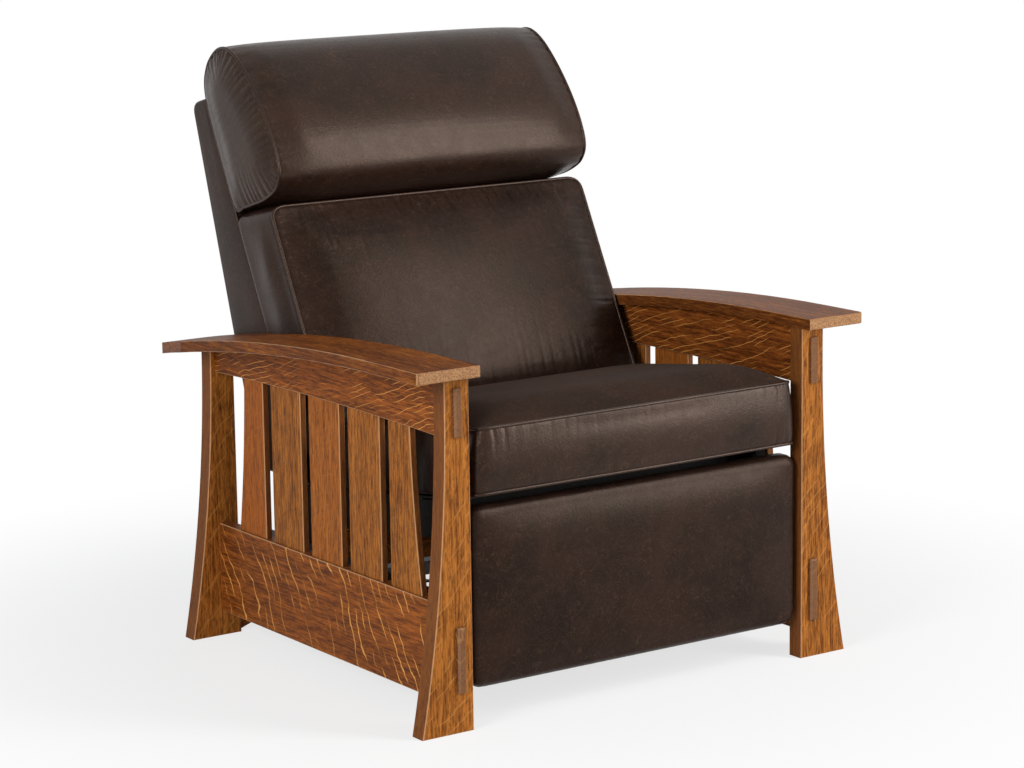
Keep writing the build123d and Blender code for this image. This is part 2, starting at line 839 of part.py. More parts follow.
shoe_height = track_inner - 2 * shoe_clear
shoe_outer_x = track_outer_x - track_web - shoe_clear

with BuildPart() as slide_shoes:
    for along, place in zip((shoe_front, shoe_rear), shoe_places):
        with BuildSketch(seat_end(along + shoe_length / 2)):
            with Locations(((plate_outer_x + shoe_outer_x) / 2, -track_drop)):
                Rectangle(shoe_outer_x - plate_outer_x, shoe_height)
        extrude(amount=shoe_length)
        add(pin(place, plate_inner_x, plate_outer_x, shoe_radius))

seat_rail_length = seat_rail_end - seat_rail_start
bolt_places = []
for share in bolt_shares:
    bolt_places.append(seat_point(seat_rail_start + share * seat_rail_length, -band_drop - band_height / 2))

with BuildPart() as carriage_bolts:
    with BuildSketch(at_x(plate_inner_x)):
        with Locations(bolt_places):
            Circle(screw_radius)
    extrude(amount=plate_thick + seat_rail_thick - screw_radius)
    with BuildSketch(at_x(plate_inner_x)):
        with Locations(bolt_places):
            Circle(screw_head)
    extrude(amount=-head_thick)

with BuildPart() as drilled_plate:
    add(carriage_plate.part)
    add(carriage_bolts.part, mode=Mode.SUBTRACT)

back_rod = pin(back_pivot, -plate_outer_x, plate_outer_x, back_pin_radius)

# Seat frame, webbing and deck
with BuildPart() as seat_side_rail:
    with BuildSketch(seat_end(seat_rail_end)):
        with Locations((seat_rail_outer - seat_rail_thick / 2, -deck_thick - seat_rail_height / 2)):
            Rectangle(seat_rail_thick, seat_rail_height)
    extrude(amount=seat_rail_end - seat_rail_start)
    add(carriage_bolts.part, mode=Mode.SUBTRACT)


def seat_cross_rail(start_along):
    """Rail between the carriage plates, under the front or the rear of the deck."""
    with BuildPart() as rail:
        with BuildSketch(seat_end(start_along + seat_rail_thick)):
            with Locations((0, -deck_thick - seat_rail_height / 2)):
                Rectangle(2 * plate_inner_x, seat_rail_height)
        extrude(amount=seat_rail_thick)
    return rail.part


strap_first = seat_cross_start + seat_rail_thick + strap_width
strap_last = seat_rail_end - seat_rail_thick - strap_width
strap_step = (strap_last - strap_first) / (strap_count - 1)
strap_bottom = -deck_thick

with BuildPart() as seat_webbing:
    with BuildSketch(seat_plane(strap_bottom)):
        with Locations((0, (strap_first + strap_last) / 2)):
            with GridLocations(0, strap_step, 1, strap_count):
                Rectangle(2 * seat_rail_outer, strap_width)
    extrude(amount=strap_thick)

with BuildPart() as seat_deck:
    with BuildSketch(seat_plane(strap_bottom + strap_thick)):
        with Locations((0, (deck_setback + seat_rail_end) / 2)):
            Rectangle(2 * seat_rail_outer, seat_rail_end - deck_setback)
    extrude(amount=deck_thick - strap_thick)

hand_in_pair(drilled_plate, "carriage_plate")
hand_in_both(slide_shoes, "slide_shoes")
hand_in_both(carriage_bolts, "carriage_bolts")
hand_in(back_rod, "back_pivot_rod")
hand_in_pair(seat_side_rail, "seat_side_rail")
hand_in(seat_cross_rail(seat_cross_start), "seat_front_rail")
hand_in(seat_cross_rail(seat_rail_end - 2 * seat_rail_thick), "seat_rear_rail")
hand_in(seat_webbing.part, "seat_webbing")
hand_in(seat_deck.part, "seat_deck")

# Footrest: a plywood board with a padded leather front
footrest_middle_z = (footrest_bottom + footrest_top) / 2
footrest_height = footrest_top - footrest_bottom
board_front_y = board_rear_y - board_thick
pad_flat_y = footrest_front_y + footrest_crown


def pad_outline(inset):
    """Front outline of the footrest pad, drawn in by that much all round."""
    with Locations((0, footrest_middle_z)):
        RectangleRounded(2 * (footrest_half - inset), footrest_height - 2 * inset, pad_corner - inset / 2)


with BuildPart() as footrest_board:
    with BuildSketch(at_y(board_rear_y)):
        with Locations((0, footrest_middle_z)):
            Rectangle(2 * (footrest_half - board_margin), footrest_height - 2 * board_margin)
    extrude(amount=board_thick)
    add(bracket_screws.part, mode=Mode.SUBTRACT)
    add(mirror(bracket_screws.part, about=Plane.YZ, mode=Mode.PRIVATE), mode=Mode.SUBTRACT)

with BuildPart() as footrest_core:
    with BuildSketch(at_y(board_front_y)):
        pad_outline(cover)
    extrude(amount=board_front_y - pad_flat_y - cover)

pad_steps = [(board_front_y, pad_roll), (board_front_y - pad_roll, 0), (pad_flat_y + pad_roll, 0)]
pad_steps += [(pad_flat_y + pad_roll / 3, pad_roll / 3), (pad_flat_y, pad_roll)]

with BuildPart() as footrest_pad:
    for y, inset in pad_steps:
        with BuildSketch(at_y(y)):
            pad_outline(inset)
    loft(ruled=True)
    with BuildSketch(at_y(pad_flat_y)):
        pad_outline(pad_roll)
    with BuildSketch(at_y(footrest_front_y)):
        pad_outline(pad_roll * 3)
    loft(ruled=True)
    add(footrest_core.part, mode=Mode.SUBTRACT)

hand_in(footrest_board.part, "footrest_board")
hand_in(footrest_core.part, "footrest_core")
hand_in(footrest_pad.part, "footrest_pad")

# Back: side panels, uprights, rails and webbing behind the leaning seam plane
panel_inner_x = back_half - side_panel
upright_inner_x = panel_inner_x - upright_thick
seam_slope = back_run / back_rise
panel_foot_y = back_foot_y - (back_foot_z - back_panel_z) * seam_slope
panel_top_y = back_foot_y + (back_top_z - back_foot_z) * seam_slope
back_rear_top_z = back_top_z - back_top_fall
rear_top_y = panel_top_y + back_top_depth
rear_slope = (rear_top_y - back_rear_y) / (back_rear_top_z - back_panel_z)

with BuildSketch() as back_side:
    with BuildLine():
        Polyline(
            (panel_foot_y, back_panel_z),
            (panel_top_y, back_top_z),
            (rear_top_y, back_rear_top_z),
            (back_rear_y, back_panel_z),
            close=True,
        )
    make_face()
    fillet(vertices().sort_by(Axis.X)[-1], back_corner)

# The outside back and the top are one bent shell between the side panels
shell_run = outer_panel * (1 + rear_slope**2) ** 0.5

with BuildSketch() as back_shell:
    add(back_side.sketch)
    with BuildLine():
        Polyline(
            (panel_foot_y - overrun, back_panel_z - overrun),
            (panel_top_y - overrun - outer_panel * seam_slope, back_top_z - outer_panel),
            (rear_top_y - outer_panel * rear_slope - shell_run, back_rear_top_z - outer_panel),
            (back_rear_y - overrun * rear_slope - shell_run, back_panel_z - overrun),
            close=True,
        )
    make_face(mode=Mode.SUBTRACT)

with BuildPart() as side_panel_piece:
    with BuildSketch(at_x(panel_inner_x)):
        add(back_side.sketch)
    extrude(amount=side_panel)

with BuildPart() as back_shell_piece:
    with BuildSketch(at_x(-panel_inner_x)):
        add(back_shell.sketch)
    extrude(amount=2 * panel_inner_x)


# The back thins towards its top, so the uprights end where its shell would meet them
free_depth = back_rear_y - panel_foot_y - shell_run - (back_gap + upright_deep) / back_rise - back_gap
upright_top_z = back_panel_z + free_depth / (seam_slope - rear_slope)
upright_top = (upright_top_z - back_foot_z + (back_gap + upright_deep) * back_run) / back_rise

with BuildPart() as back_upright:
    with BuildSketch(back_plane(-back_gap - upright_deep)):
        with Locations(((panel_inner_x + upright_inner_x) / 2, (upright_foot + upright_top) / 2)):
            Rectangle(upright_thick, upright_top - upright_foot)
    extrude(amount=upright_deep)

back_rail_step = (upright_top - upright_foot - back_rail_height) / 2

with BuildPart() as back_rails:
    with BuildSketch(back_plane(-back_gap - back_rail_thick)):
        with Locations((0, (upright_foot + upright_top) / 2)):
            with GridLocations(0, back_rail_step, 1, 3):
                Rectangle(2 * upright_inner_x, back_rail_height)
    extrude(amount=back_rail_thick)

back_strap_step = (upright_top - upright_foot - 2 * strap_width) / (back_strap_count - 1)

with BuildPart() as back_webbing:
    with BuildSketch(back_plane(-back_gap)):
        with Locations((0, (upright_foot + upright_top) / 2)):
            with GridLocations(0, back_strap_step, 1, back_strap_count):
                Rectangle(2 * panel_inner_x, strap_width)
    extrude(amount=strap_thick)

# Hinge plates turn on the carriage's pivot rod
hinge_top = upright_foot + hinge_reach
hinge_front = -back_gap - back_rail_thick - back_gap

with BuildPart() as hinge_plate:
    with BuildSketch(at_x(upright_inner_x - hinge_thick)):
        with BuildLine():
            Polyline(
                back_point(hinge_top, hinge_front),
                back_point(hinge_top, -back_gap - upright_deep),
                (back_pivot_y + lobe_radius, back_pivot_z),
                (back_pivot_y - lobe_radius, back_pivot_z),
                back_point(upright_foot, hinge_front),
                close=True,
            )
        make_face()
        with Locations(back_pivot):
            Circle(lobe_radius)
            Circle(back_pin_radius + pin_clear, mode=Mode.SUBTRACT)
    extrude(amount=hinge_thick)

hand_in_pair(side_panel_piece, "back_side_panel")
hand_in(back_shell_piece.part, "outside_back")
hand_in_both(back_upright, "back_uprights")
hand_in(back_rails.part, "back_rails")
hand_in(back_webbing.part, "back_webbing")
hand_in_both(hinge_plate, "hinge_plates")

# Seat cushion: a boxed cushion with a bowed front, welts above and below and a crowned top.
# Its front face stays upright, so each section starts a little further forward than the last.
cushion_top = cushion_foot + cushion_height
cushion_lean = seat_rise / seat_run
cushion_bulge = cushion_bow / 2


def cushion_outline(height, inset):
    """Section of the seat cushion at that height above the deck, drawn in all round."""
    taper_share = (height - cushion_foot) / cushion_height
    half = cushion_half_foot - (cushion_half_foot - cushion_half_top) * taper_share - inset
    front = cushion_front - height * cushion_lean + inset
    rear = cushion_rear - inset
    with BuildSketch() as outline:
        with BuildLine():
            side = Line((half, front), (half, rear))
            back = Line(side @ 1, (-half, rear))
            other = Line(back @ 1, (-half, front))
            ThreePointArc(other @ 1, (0, front - cushion_bow), (half, front))
        make_face()
        fillet(vertices(), cushion_corner)
    return outline.sketch


cushion_steps = [
    (soft_gap, cushion_under),
    (cushion_foot, 0),
    (cushion_foot + cushion_height / 4, -cushion_bulge),
    (cushion_top - cushion_height / 4, -cushion_bulge),
    (cushion_top, 0),
]
crown_shares = ((0.38, 0.11), (0.7, 0.3), (0.91, 0.61), (1, 1))
cushion_steps += [(cushion_top + rise * cushion_crown, reach * crown_reach) for rise, reach in crown_shares]


def cushion_skin(steps, shrink):
    """Heights and insets of a cushion's sections, pulled inward by the thickness of its cover."""
    middle = (steps[0][0] + steps[-1][0]) / 2
    inner = []
    for height, inset in steps:
        inner.append((height + shrink if height < middle else height - shrink, inset + shrink))
    return inner


with BuildPart() as seat_cushion_core:
    for height, inset in cushion_skin(cushion_steps, cover):
        with BuildSketch(seat_plane(height)):
            add(cushion_outline(height, inset))
    loft(ruled=True)

with BuildPart() as seat_cushion:
    for height, inset in cushion_steps:
        with BuildSketch(seat_plane(height)):
            add(cushion_outline(height, inset))
    loft(ruled=True)
    add(seat_cushion_core.part, mode=Mode.SUBTRACT)

# Back cushion: the same kind of box, leaning, with its top cut at a slant under the headrest
back_cushion_steps = [
    (soft_gap, back_cushion_roll),
    (soft_gap + back_cushion_roll, 0),
    (back_cushion_thick / 2, -cushion_bulge),
    (back_cushion_thick, 0),
]
back_cushion_steps += [
    (back_cushion_thick + rise * back_cushion_crown, reach * back_crown_reach) for rise, reach in crown_shares
]


def back_cushion_outline(depth, inset):
    """Section of the back cushion at that depth in front of the seam plane."""
    top = back_cushion_top - back_cushion_slope_share * depth - inset
    bottom = back_cushion_bottom + inset
    with BuildSketch() as outline:
        with Locations((0, (top + bottom) / 2)):
            RectangleRounded(2 * (back_cushion_half - inset), top - bottom, back_cushion_corner)
    return outline.sketch


with BuildPart() as back_cushion_core:
    for depth, inset in cushion_skin(back_cushion_steps, cover):
        with BuildSketch(back_plane(depth)):
            add(back_cushion_outline(depth, inset))
    loft(ruled=True)

with BuildPart() as back_cushion:
    for depth, inset in back_cushion_steps:
        with BuildSketch(back_plane(depth)):
            add(back_cushion_outline(depth, inset))
    loft(ruled=True)
    add(back_cushion_core.part, mode=Mode.SUBTRACT)

# Headrest: a rolled pillow, thickest above the back cushion and turned over the top of the back
head_height = head_top - head_bottom
head_points = []
for up_share, depth_share in head_shares:
    head_points.append((head_bottom + up_share * head_height, depth_share * head_depth + soft_gap))
head_middle = head_bottom + head_height / 2


def headrest_outline(swell_share, shrink):
    """Side outline of the headrest, swollen away from the back by that share."""
    places = []
    for up, depth in head_points:
        up_in = head_middle + (up - head_middle) * (swell_share - 2 * shrink / head_height)
        depth_in = soft_gap + shrink + (depth - soft_gap) * (swell_share - 2 * shrink / head_depth)
        places.append(back_point(up_in, depth_in))
    with BuildSketch() as outline:
        with BuildLine():
            ThreePointArc(places[0], places[1], places[2])
            ThreePointArc(places[2], places[3], places[4])
            ThreePointArc(places[4], places[5], places[6])
            ThreePointArc(places[6], places[7], places[8])
            ThreePointArc(places[8], places[9], places[10])
            Line(places[10], places[0])
        make_face()
    return outline.sketch


head_end = headrest_half + headrest_dome
head_sections = [(-head_end, 0.8), (-headrest_half, 1), (-headrest_half / 2, 1.02), (0, 1.03)]
head_sections += [(headrest_half / 2, 1.02), (headrest_half, 1), (head_end, 0.8)]

with BuildPart() as headrest_core:
    for x, swell_share in head_sections:
        with BuildSketch(at_x(x * (1 - cover / headrest_half))):
            add(headrest_outline(swell_share, cover))
    loft(ruled=True)

with BuildPart() as headrest:
    for x, swell_share in head_sections:
        with BuildSketch(at_x(x)):
            add(headrest_outline(swell_share, 0))
    loft(ruled=True)
    add(headrest_core.part, mode=Mode.SUBTRACT)

hand_in(seat_cushion_core.part, "seat_cushion_core")
hand_in(seat_cushion.part, "seat_cushion")
hand_in(back_cushion_core.part, "back_cushion_core")
hand_in(back_cushion.part, "back_cushion")
hand_in(headrest_core.part, "headrest_core")
hand_in(headrest.part, "headrest")
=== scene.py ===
import bmesh
import bpy
import functools
import json
import math
import numpy as np
from mathutils import Matrix, Vector


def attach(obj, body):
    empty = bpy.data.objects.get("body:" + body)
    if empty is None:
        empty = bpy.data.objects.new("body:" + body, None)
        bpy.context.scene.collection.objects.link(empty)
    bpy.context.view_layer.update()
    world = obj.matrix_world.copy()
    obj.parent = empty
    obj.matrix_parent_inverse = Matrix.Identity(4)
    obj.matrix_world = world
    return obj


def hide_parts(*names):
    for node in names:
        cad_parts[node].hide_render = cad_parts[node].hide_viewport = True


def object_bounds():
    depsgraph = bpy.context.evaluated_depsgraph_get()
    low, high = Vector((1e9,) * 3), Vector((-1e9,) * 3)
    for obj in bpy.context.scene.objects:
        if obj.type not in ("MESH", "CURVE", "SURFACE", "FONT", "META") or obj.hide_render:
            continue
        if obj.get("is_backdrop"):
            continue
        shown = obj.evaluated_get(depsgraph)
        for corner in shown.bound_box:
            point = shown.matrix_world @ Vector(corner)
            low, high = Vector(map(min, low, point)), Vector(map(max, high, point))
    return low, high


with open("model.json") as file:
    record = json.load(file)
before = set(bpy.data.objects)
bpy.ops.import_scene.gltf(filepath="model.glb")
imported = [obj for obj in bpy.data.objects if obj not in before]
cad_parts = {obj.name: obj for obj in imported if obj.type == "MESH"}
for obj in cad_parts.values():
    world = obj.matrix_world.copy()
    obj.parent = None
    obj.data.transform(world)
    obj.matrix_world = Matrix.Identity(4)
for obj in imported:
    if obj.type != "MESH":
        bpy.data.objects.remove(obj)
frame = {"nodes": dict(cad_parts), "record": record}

# %% [markdown]
# # A mission reclining armchair
#
# The chair has an oak frame with bowed arms, flared posts and five slats a side. Inside it sits
# an upholstered recliner in dark brown leather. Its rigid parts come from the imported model, so
# they are already true in size and place. This lesson gives the oak its stain and figure, and
# builds each leather piece as a surface that is worked out with numpy.

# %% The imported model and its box
MM = 0.001
cad_low, cad_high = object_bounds()
nodes = frame["nodes"]
print("nodes:", len(nodes), "box in metres:", [round(b - a, 3) for a, b in zip(cad_low, cad_high)])

# %% [markdown]
# ## Camera
#
# The picture was taken with a long lens, from the front left and a little above. A camera can be
# aimed by a constraint, but fixed angles are easier to keep. The yaw is counted from the chair's
# depth axis, and the small roll levels the posts as the picture has them.

# %% Place the camera
CAMERA_PLACE = Vector((-2.9007, -4.2586, 1.4336))
LENS_MM = 107.4
VIEW_DEPTH = 60
yaw, dip, roll = (math.radians(angle) for angle in (34.66, 10.82, -0.8))

ahead = Vector((math.sin(yaw) * math.cos(dip), math.cos(yaw) * math.cos(dip), -math.sin(dip)))
level_right = Vector((math.cos(yaw), -math.sin(yaw), 0))
level_up = level_right.cross(ahead)
right = level_right * math.cos(roll) + level_up * math.sin(roll)
up = level_up * math.cos(roll) - level_right * math.sin(roll)

camera_data = bpy.data.cameras.new("camera")
camera_data.lens = LENS_MM
camera_data.clip_end = VIEW_DEPTH
camera = bpy.data.objects.new("camera", camera_data)
bpy.context.scene.collection.objects.link(camera)
camera_turn = Matrix((right, up, -ahead)).transposed().to_4x4()
camera.matrix_world = Matrix.Translation(CAMERA_PLACE) @ camera_turn
bpy.context.scene.camera = camera
print("camera stands", round(CAMERA_PLACE.length, 2), "m from the chair's origin")

# %% [markdown]
# ## Helpers for node groups
#
# Several woods share one figure and several hides share one grain. Each such effect is a node
# group with named inputs and outputs. Small helpers keep the cells that build them readable, and
# the floor and the world use them too.

# %% Groups and links
def new_group(name, inputs, outputs):
    """Makes a shader node group. Inputs and outputs are (name, type, default) rows."""
    group = bpy.data.node_groups.new(name, "ShaderNodeTree")
    for label, kind, default in inputs:
        made = group.interface.new_socket(label, in_out="INPUT", socket_type=kind)
        if default is not None:
            made.default_value = default
    for label, kind in outputs:
        group.interface.new_socket(label, in_out="OUTPUT", socket_type=kind)
    return group, group.nodes.new("NodeGroupInput"), group.nodes.new("NodeGroupOutput")


def link(tree, source, target):
    """Joins an output socket to an input socket."""
    tree.links.new(source, target)


# %% Noise, grading and sums
def stretched_noise(tree, vector, scale, detail, distortion=0.0, rough=0.5):
    """Noise on coordinates that are first scaled by a different amount along each axis."""
    mapping = tree.nodes.new("ShaderNodeMapping")
    mapping.inputs["Scale"].default_value = scale
    noise = tree.nodes.new("ShaderNodeTexNoise")
    noise.inputs["Scale"].default_value = 1
    noise.inputs["Detail"].default_value = detail
    noise.inputs["Roughness"].default_value = rough
    noise.inputs["Distortion"].default_value = distortion
    link(tree, vector, mapping.inputs["Vector"])
    link(tree, mapping.outputs[0], noise.inputs["Vector"])
    return noise.outputs["Fac"]


def graded(tree, value, low, high):
    """Maps low..high of a value to 0..1 with a smooth step."""
    node = tree.nodes.new("ShaderNodeMapRange")
    node.interpolation_type = "SMOOTHSTEP"
    node.inputs["From Min"].default_value = low
    node.inputs["From Max"].default_value = high
    link(tree, value, node.inputs["Value"])
    return node.outputs["Result"]


def maths(tree, operation, first, second):
    """A Math node on two sockets or numbers."""
    node = tree.nodes.new("ShaderNodeMath")
    node.operation = operation
    for socket, value in zip(node.inputs, (first, second)):
        if isinstance(value, (int, float)):
            socket.default_value = value
        else:
            link(tree, value, socket)
    return node.outputs[0]


def product(tree, *values):
    """Multiplies sockets or numbers."""
    return functools.reduce(functools.partial(maths, tree, "MULTIPLY"), values)


def total(tree, *values):
    """Adds sockets or numbers."""
    return functools.reduce(functools.partial(maths, tree, "ADD"), values)


def components(tree, vector):
    """The x, y and z sockets of a vector."""
    split = tree.nodes.new("ShaderNodeSeparateXYZ")
    link(tree, vector, split.inputs[0])
    return split.outputs


# %% Bump, new materials and colour mixes
def raised(tree, height, strength, distance):
    """Bumped normals from a height, at that strength and distance in metres."""
    bump = tree.nodes.new("ShaderNodeBump")
    bump.inputs["Strength"].default_value = strength
    bump.inputs["Distance"].default_value = distance
    link(tree, height, bump.inputs["Height"])
    return bump.outputs[0]


def new_material(name):
    """An empty procedural material: its node tree, its shader and its coordinate sockets."""
    material = bpy.data.materials.new(name)
    material.use_nodes = True
    tree = material.node_tree
    coordinates = tree.nodes.new("ShaderNodeTexCoord")
    return material, tree, tree.nodes["Principled BSDF"], coordinates.outputs


def blended(tree, share, first, second):
    """A colour mix of two sockets or colours by a share."""
    node = tree.nodes.new("ShaderNodeMix")
    node.data_type = "RGBA"
    color_sockets = (node.inputs[6], node.inputs[7])
    for socket, value in zip((node.inputs[0], *color_sockets), (share, first, second)):
        if isinstance(value, (int, float, tuple)):
            socket.default_value = value
        else:
            link(tree, value, socket)
    return node.outputs[2]


# %% [markdown]
# ## Light and floor
#
# The picture is a plain studio shot on white. Large soft lamps give long, soft highlights on the
# leather. The white comes from the floor and the world as the camera sees them, so the lamps can
# stay at a level where a colour renders about as it is written.

# %% Lamps
def soft_lamp(name, place, aim, width, height, power):
    """Adds an area lamp of that width and height at place, turned towards aim."""
    data = bpy.data.lights.new(name, "AREA")
    data.shape = "RECTANGLE"
    data.size, data.size_y = width, height
    data.energy = power
    lamp = bpy.data.objects.new(name, data)
    bpy.context.scene.collection.objects.link(lamp)
    lamp.location = place
    lamp.rotation_mode = "QUATERNION"
    lamp.rotation_quaternion = (Vector(aim) - Vector(place)).to_track_quat("-Z", "Y")
    return lamp


CHAIR_MIDDLE = (0, 0, 0.5)
CHAIR_TOP = (0, 0, 1.6)
soft_lamp("side_lamp", (-3.6, -1.5, 1.8), CHAIR_MIDDLE, width=1.6, height=1.6, power=100)
soft_lamp("front_lamp", (2.05, -2.8, 2.15), CHAIR_TOP, width=1.1, height=3.8, power=135)


def seen_as_white(tree, plain, white_type, share):
    """Mixes a white shader into plain by that share, for camera, mirror and glass rays only."""
    path = tree.nodes.new("ShaderNodeLightPath")
    seen = path.outputs["Is Camera Ray"]
    for other in ("Is Glossy Ray", "Is Transmission Ray"):
        seen = maths(tree, "MAXIMUM", seen, path.outputs[other])
    white = tree.nodes.new(white_type)
    white.inputs["Color"].default_value = (1, 1, 1, 1)
    mix = tree.nodes.new("ShaderNodeMixShader")
    for socket, source in zip(mix.inputs, (product(tree, seen, share), plain, white.outputs[0])):
        link(tree, source, socket)
    return mix.outputs[0]


# %% World
WORLD_STRENGTH = 0.22
world = bpy.data.worlds.new("studio")
bpy.context.scene.world = world
world.use_nodes = True
sky = world.node_tree.nodes["Background"]
sky.inputs["Color"].default_value = (0.92, 0.95, 1, 1)
sky.inputs["Strength"].default_value = WORLD_STRENGTH
world_white = seen_as_white(world.node_tree, sky.outputs[0], "ShaderNodeBackground", 1)
link(world.node_tree, world_white, world.node_tree.nodes["World Output"].inputs["Surface"])
bpy.context.scene.view_settings.view_transform = "Standard"
print("world strength:", WORLD_STRENGTH)

# %% Floor: it shows the shadow near the chair, and turns white between two distances
FLOOR_HALF = 9
SHADOW_NEAR, SHADOW_FAR = 0.5, 1.5
WHITE_NEAR = 0.72
floor_corners = [
    (x * FLOOR_HALF, y * FLOOR_HALF, 0) for x, y in ((-1, -1), (1, -1), (1, 1), (-1, 1))
]
floor_mesh = bpy.data.meshes.new("floor")
floor_mesh.from_pydata(floor_corners, [], [(0, 1, 2, 3)])
floor = bpy.data.objects.new("floor", floor_mesh)
bpy.context.scene.collection.objects.link(floor)
floor_paint, floor_tree, matt, floor_at = new_material("floor_paint")
matt.inputs["Base Color"].default_value = (0.86, 0.86, 0.86, 1)
matt.inputs["Roughness"].default_value = 0.9
from_chair = floor_tree.nodes.new("ShaderNodeVectorMath")
from_chair.operation = "LENGTH"
link(floor_tree, floor_at["Object"], from_chair.inputs[0])
whiter = graded(floor_tree, from_chair.outputs["Value"], SHADOW_NEAR, SHADOW_FAR)
whiteness = total(floor_tree, WHITE_NEAR, product(floor_tree, whiter, 1 - WHITE_NEAR))
floor_white = seen_as_white(floor_tree, matt.outputs[0], "ShaderNodeEmission", whiteness)
link(floor_tree, floor_white, floor_tree.nodes["Material Output"].inputs["Surface"])
floor_mesh.materials.append(floor_paint)
floor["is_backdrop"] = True

# %% [markdown]
# ## Oak
#
# The frame is quarter-sawn oak with an amber stain. Such boards show three things at once: straight
# growth lines along the grain, short dark pores, and the golden ray flecks that wander across the
# grain. A photo texture would be quick, but noise that is stretched along the grain has no seams
# and fits every board. The group reads a vector whose first axis runs along the grain.

# %% Colours of the oak, and how far each one covers
GOLDEN = (0.46, 0.165, 0.028, 1)
RUSSET = (0.34, 0.088, 0.015, 1)
UMBER = (0.085, 0.021, 0.0048, 1)
RAY = (0.66, 0.30, 0.075, 1)
PORE = (0.048, 0.013, 0.004, 1)
# Brown for faces square to one axis: partly flat-sawn grain, partly painted shade.
SIDE_BROWN_AND_SHADE = (0.105, 0.034, 0.012, 1)
END_TAN = (0.44, 0.24, 0.115, 1)
# Pale tan for the bevels: a painted highlight.
ARRIS_HIGHLIGHT_TAN = (0.62, 0.36, 0.19, 1)
TENON_BROWN = (0.11, 0.052, 0.030, 1)
PORE_SHARE = 0.42
SIDE_SHADE_SHARE = 0.7
ARRIS_HIGHLIGHT_SHARE = 0.55
SPECK_SHARE = 0.6

# %% The oak figure as a node group: growth lines and pores
oak_figure, oak_in, oak_out = new_group(
    "oak_figure",
    [
        ("Vector", "NodeSocketVector", None),
        ("Flecks", "NodeSocketFloat", 0.5),
        ("Closeness", "NodeSocketFloat", 300.0),
        ("Slant", "NodeSocketFloat", 0.0),
        ("Tone", "NodeSocketFloat", 0.5),
        ("Red", "NodeSocketFloat", 0.3),
        ("End Grain", "NodeSocketFloat", 0.0),
        ("Side Shade", "NodeSocketFloat", 0.0),
        ("Arris Highlight", "NodeSocketFloat", 0.0),
    ],
    [("Color", "NodeSocketColor"), ("Roughness", "NodeSocketFloat"), ("Height", "NodeSocketFloat")],
)
grain_at = oak_in.outputs["Vector"]
side_shade_share = oak_in.outputs["Side Shade"]
broad = stretched_noise(oak_figure, grain_at, (1.6, 34, 34), 3, 0.5)
growth = stretched_noise(oak_figure, grain_at, (4, 150, 150), 3, 0.4, 0.6)
streaks = stretched_noise(oak_figure, grain_at, (24, 320, 320), 3, 0.0, 0.75)
pores = graded(oak_figure, stretched_noise(oak_figure, grain_at, (75, 330, 330), 2), 0.52, 0.66)

# %% Ray flecks
# They run along lines of equal phase. The phase climbs along u and wanders a little. Along v,
# noise breaks each line into lengths, and slower noise gathers the flecks in patches.
grain_x, grain_y, grain_z = components(oak_figure, grain_at)
across = total(oak_figure, grain_y, grain_z)
cosine = maths(oak_figure, "COSINE", oak_in.outputs["Slant"], 0)
sine = maths(oak_figure, "SINE", oak_in.outputs["Slant"], 0)
u = total(oak_figure, product(oak_figure, grain_x, cosine), product(oak_figure, across, sine))
along_u = product(oak_figure, grain_x, sine)
v = maths(oak_figure, "SUBTRACT", product(oak_figure, across, cosine), along_u)
wander = product(oak_figure, stretched_noise(oak_figure, grain_at, (5, 5, 5), 1), 26)
quiver = product(oak_figure, stretched_noise(oak_figure, grain_at, (40, 34, 34), 2), 5)
climb = product(oak_figure, u, oak_in.outputs["Closeness"])
phase = total(oak_figure, climb, wander, quiver)
crest = graded(oak_figure, maths(oak_figure, "COSINE", phase, 0), 0.87, 0.98)
lane = oak_figure.nodes.new("ShaderNodeCombineXYZ")
link(oak_figure, product(oak_figure, phase, 0.2), lane.inputs[0])
link(oak_figure, product(oak_figure, v, 13), lane.inputs[1])
broken = graded(oak_figure, stretched_noise(oak_figure, lane.outputs[0], (1, 1, 1), 1), 0.44, 0.56)
gathered = graded(oak_figure, stretched_noise(oak_figure, grain_at, (5, 7, 7), 2), 0.30, 0.52)
off_edge = maths(oak_figure, "SUBTRACT", 1, side_shade_share)
flecks = product(oak_figure, crest, broken, gathered, oak_in.outputs["Flecks"], off_edge)

# %% The stain
# It is umber to amber by the sum of all noises; pores, flecks, side faces, ends and bevels lie over
# it.
# # The side faces' brown is partly flat-sawn grain and partly painted shade; the pale bevels are a
# # painted highlight.
weights = ((broad, 0.6), (growth, 0.9), (streaks, 2.4))
weighed = [product(oak_figure, noise, weight) for noise, weight in weights]
tone = graded(oak_figure, total(oak_figure, oak_in.outputs["Tone"], *weighed), 1.85, 3.05)
amber = blended(oak_figure, oak_in.outputs["Red"], GOLDEN, RUSSET)
speck = graded(oak_figure, stretched_noise(oak_figure, grain_at, (400, 500, 500), 2), 0.35, 0.7)
end_shade = blended(oak_figure, product(oak_figure, speck, SPECK_SHARE), END_TAN, UMBER)
stain = blended(oak_figure, tone, UMBER, amber)
for share, over in (
    (product(oak_figure, pores, PORE_SHARE), PORE),
    (flecks, RAY),
    (product(oak_figure, side_shade_share, SIDE_SHADE_SHARE), SIDE_BROWN_AND_SHADE),
    (oak_in.outputs["End Grain"], end_shade),
    (product(oak_figure, oak_in.outputs["Arris Highlight"], ARRIS_HIGHLIGHT_SHARE), ARRIS_HIGHLIGHT_TAN),
):
    stain = blended(oak_figure, share, stain, over)
link(oak_figure, stain, oak_out.inputs["Color"])
oak_rough = total(oak_figure, 0.36, product(oak_figure, streaks, 0.24))
link(oak_figure, oak_rough, oak_out.inputs["Roughness"])
link(oak_figure, maths(oak_figure, "SUBTRACT", streaks, pores), oak_out.inputs["Height"])
print("oak figure has", len(oak_figure.nodes), "nodes")


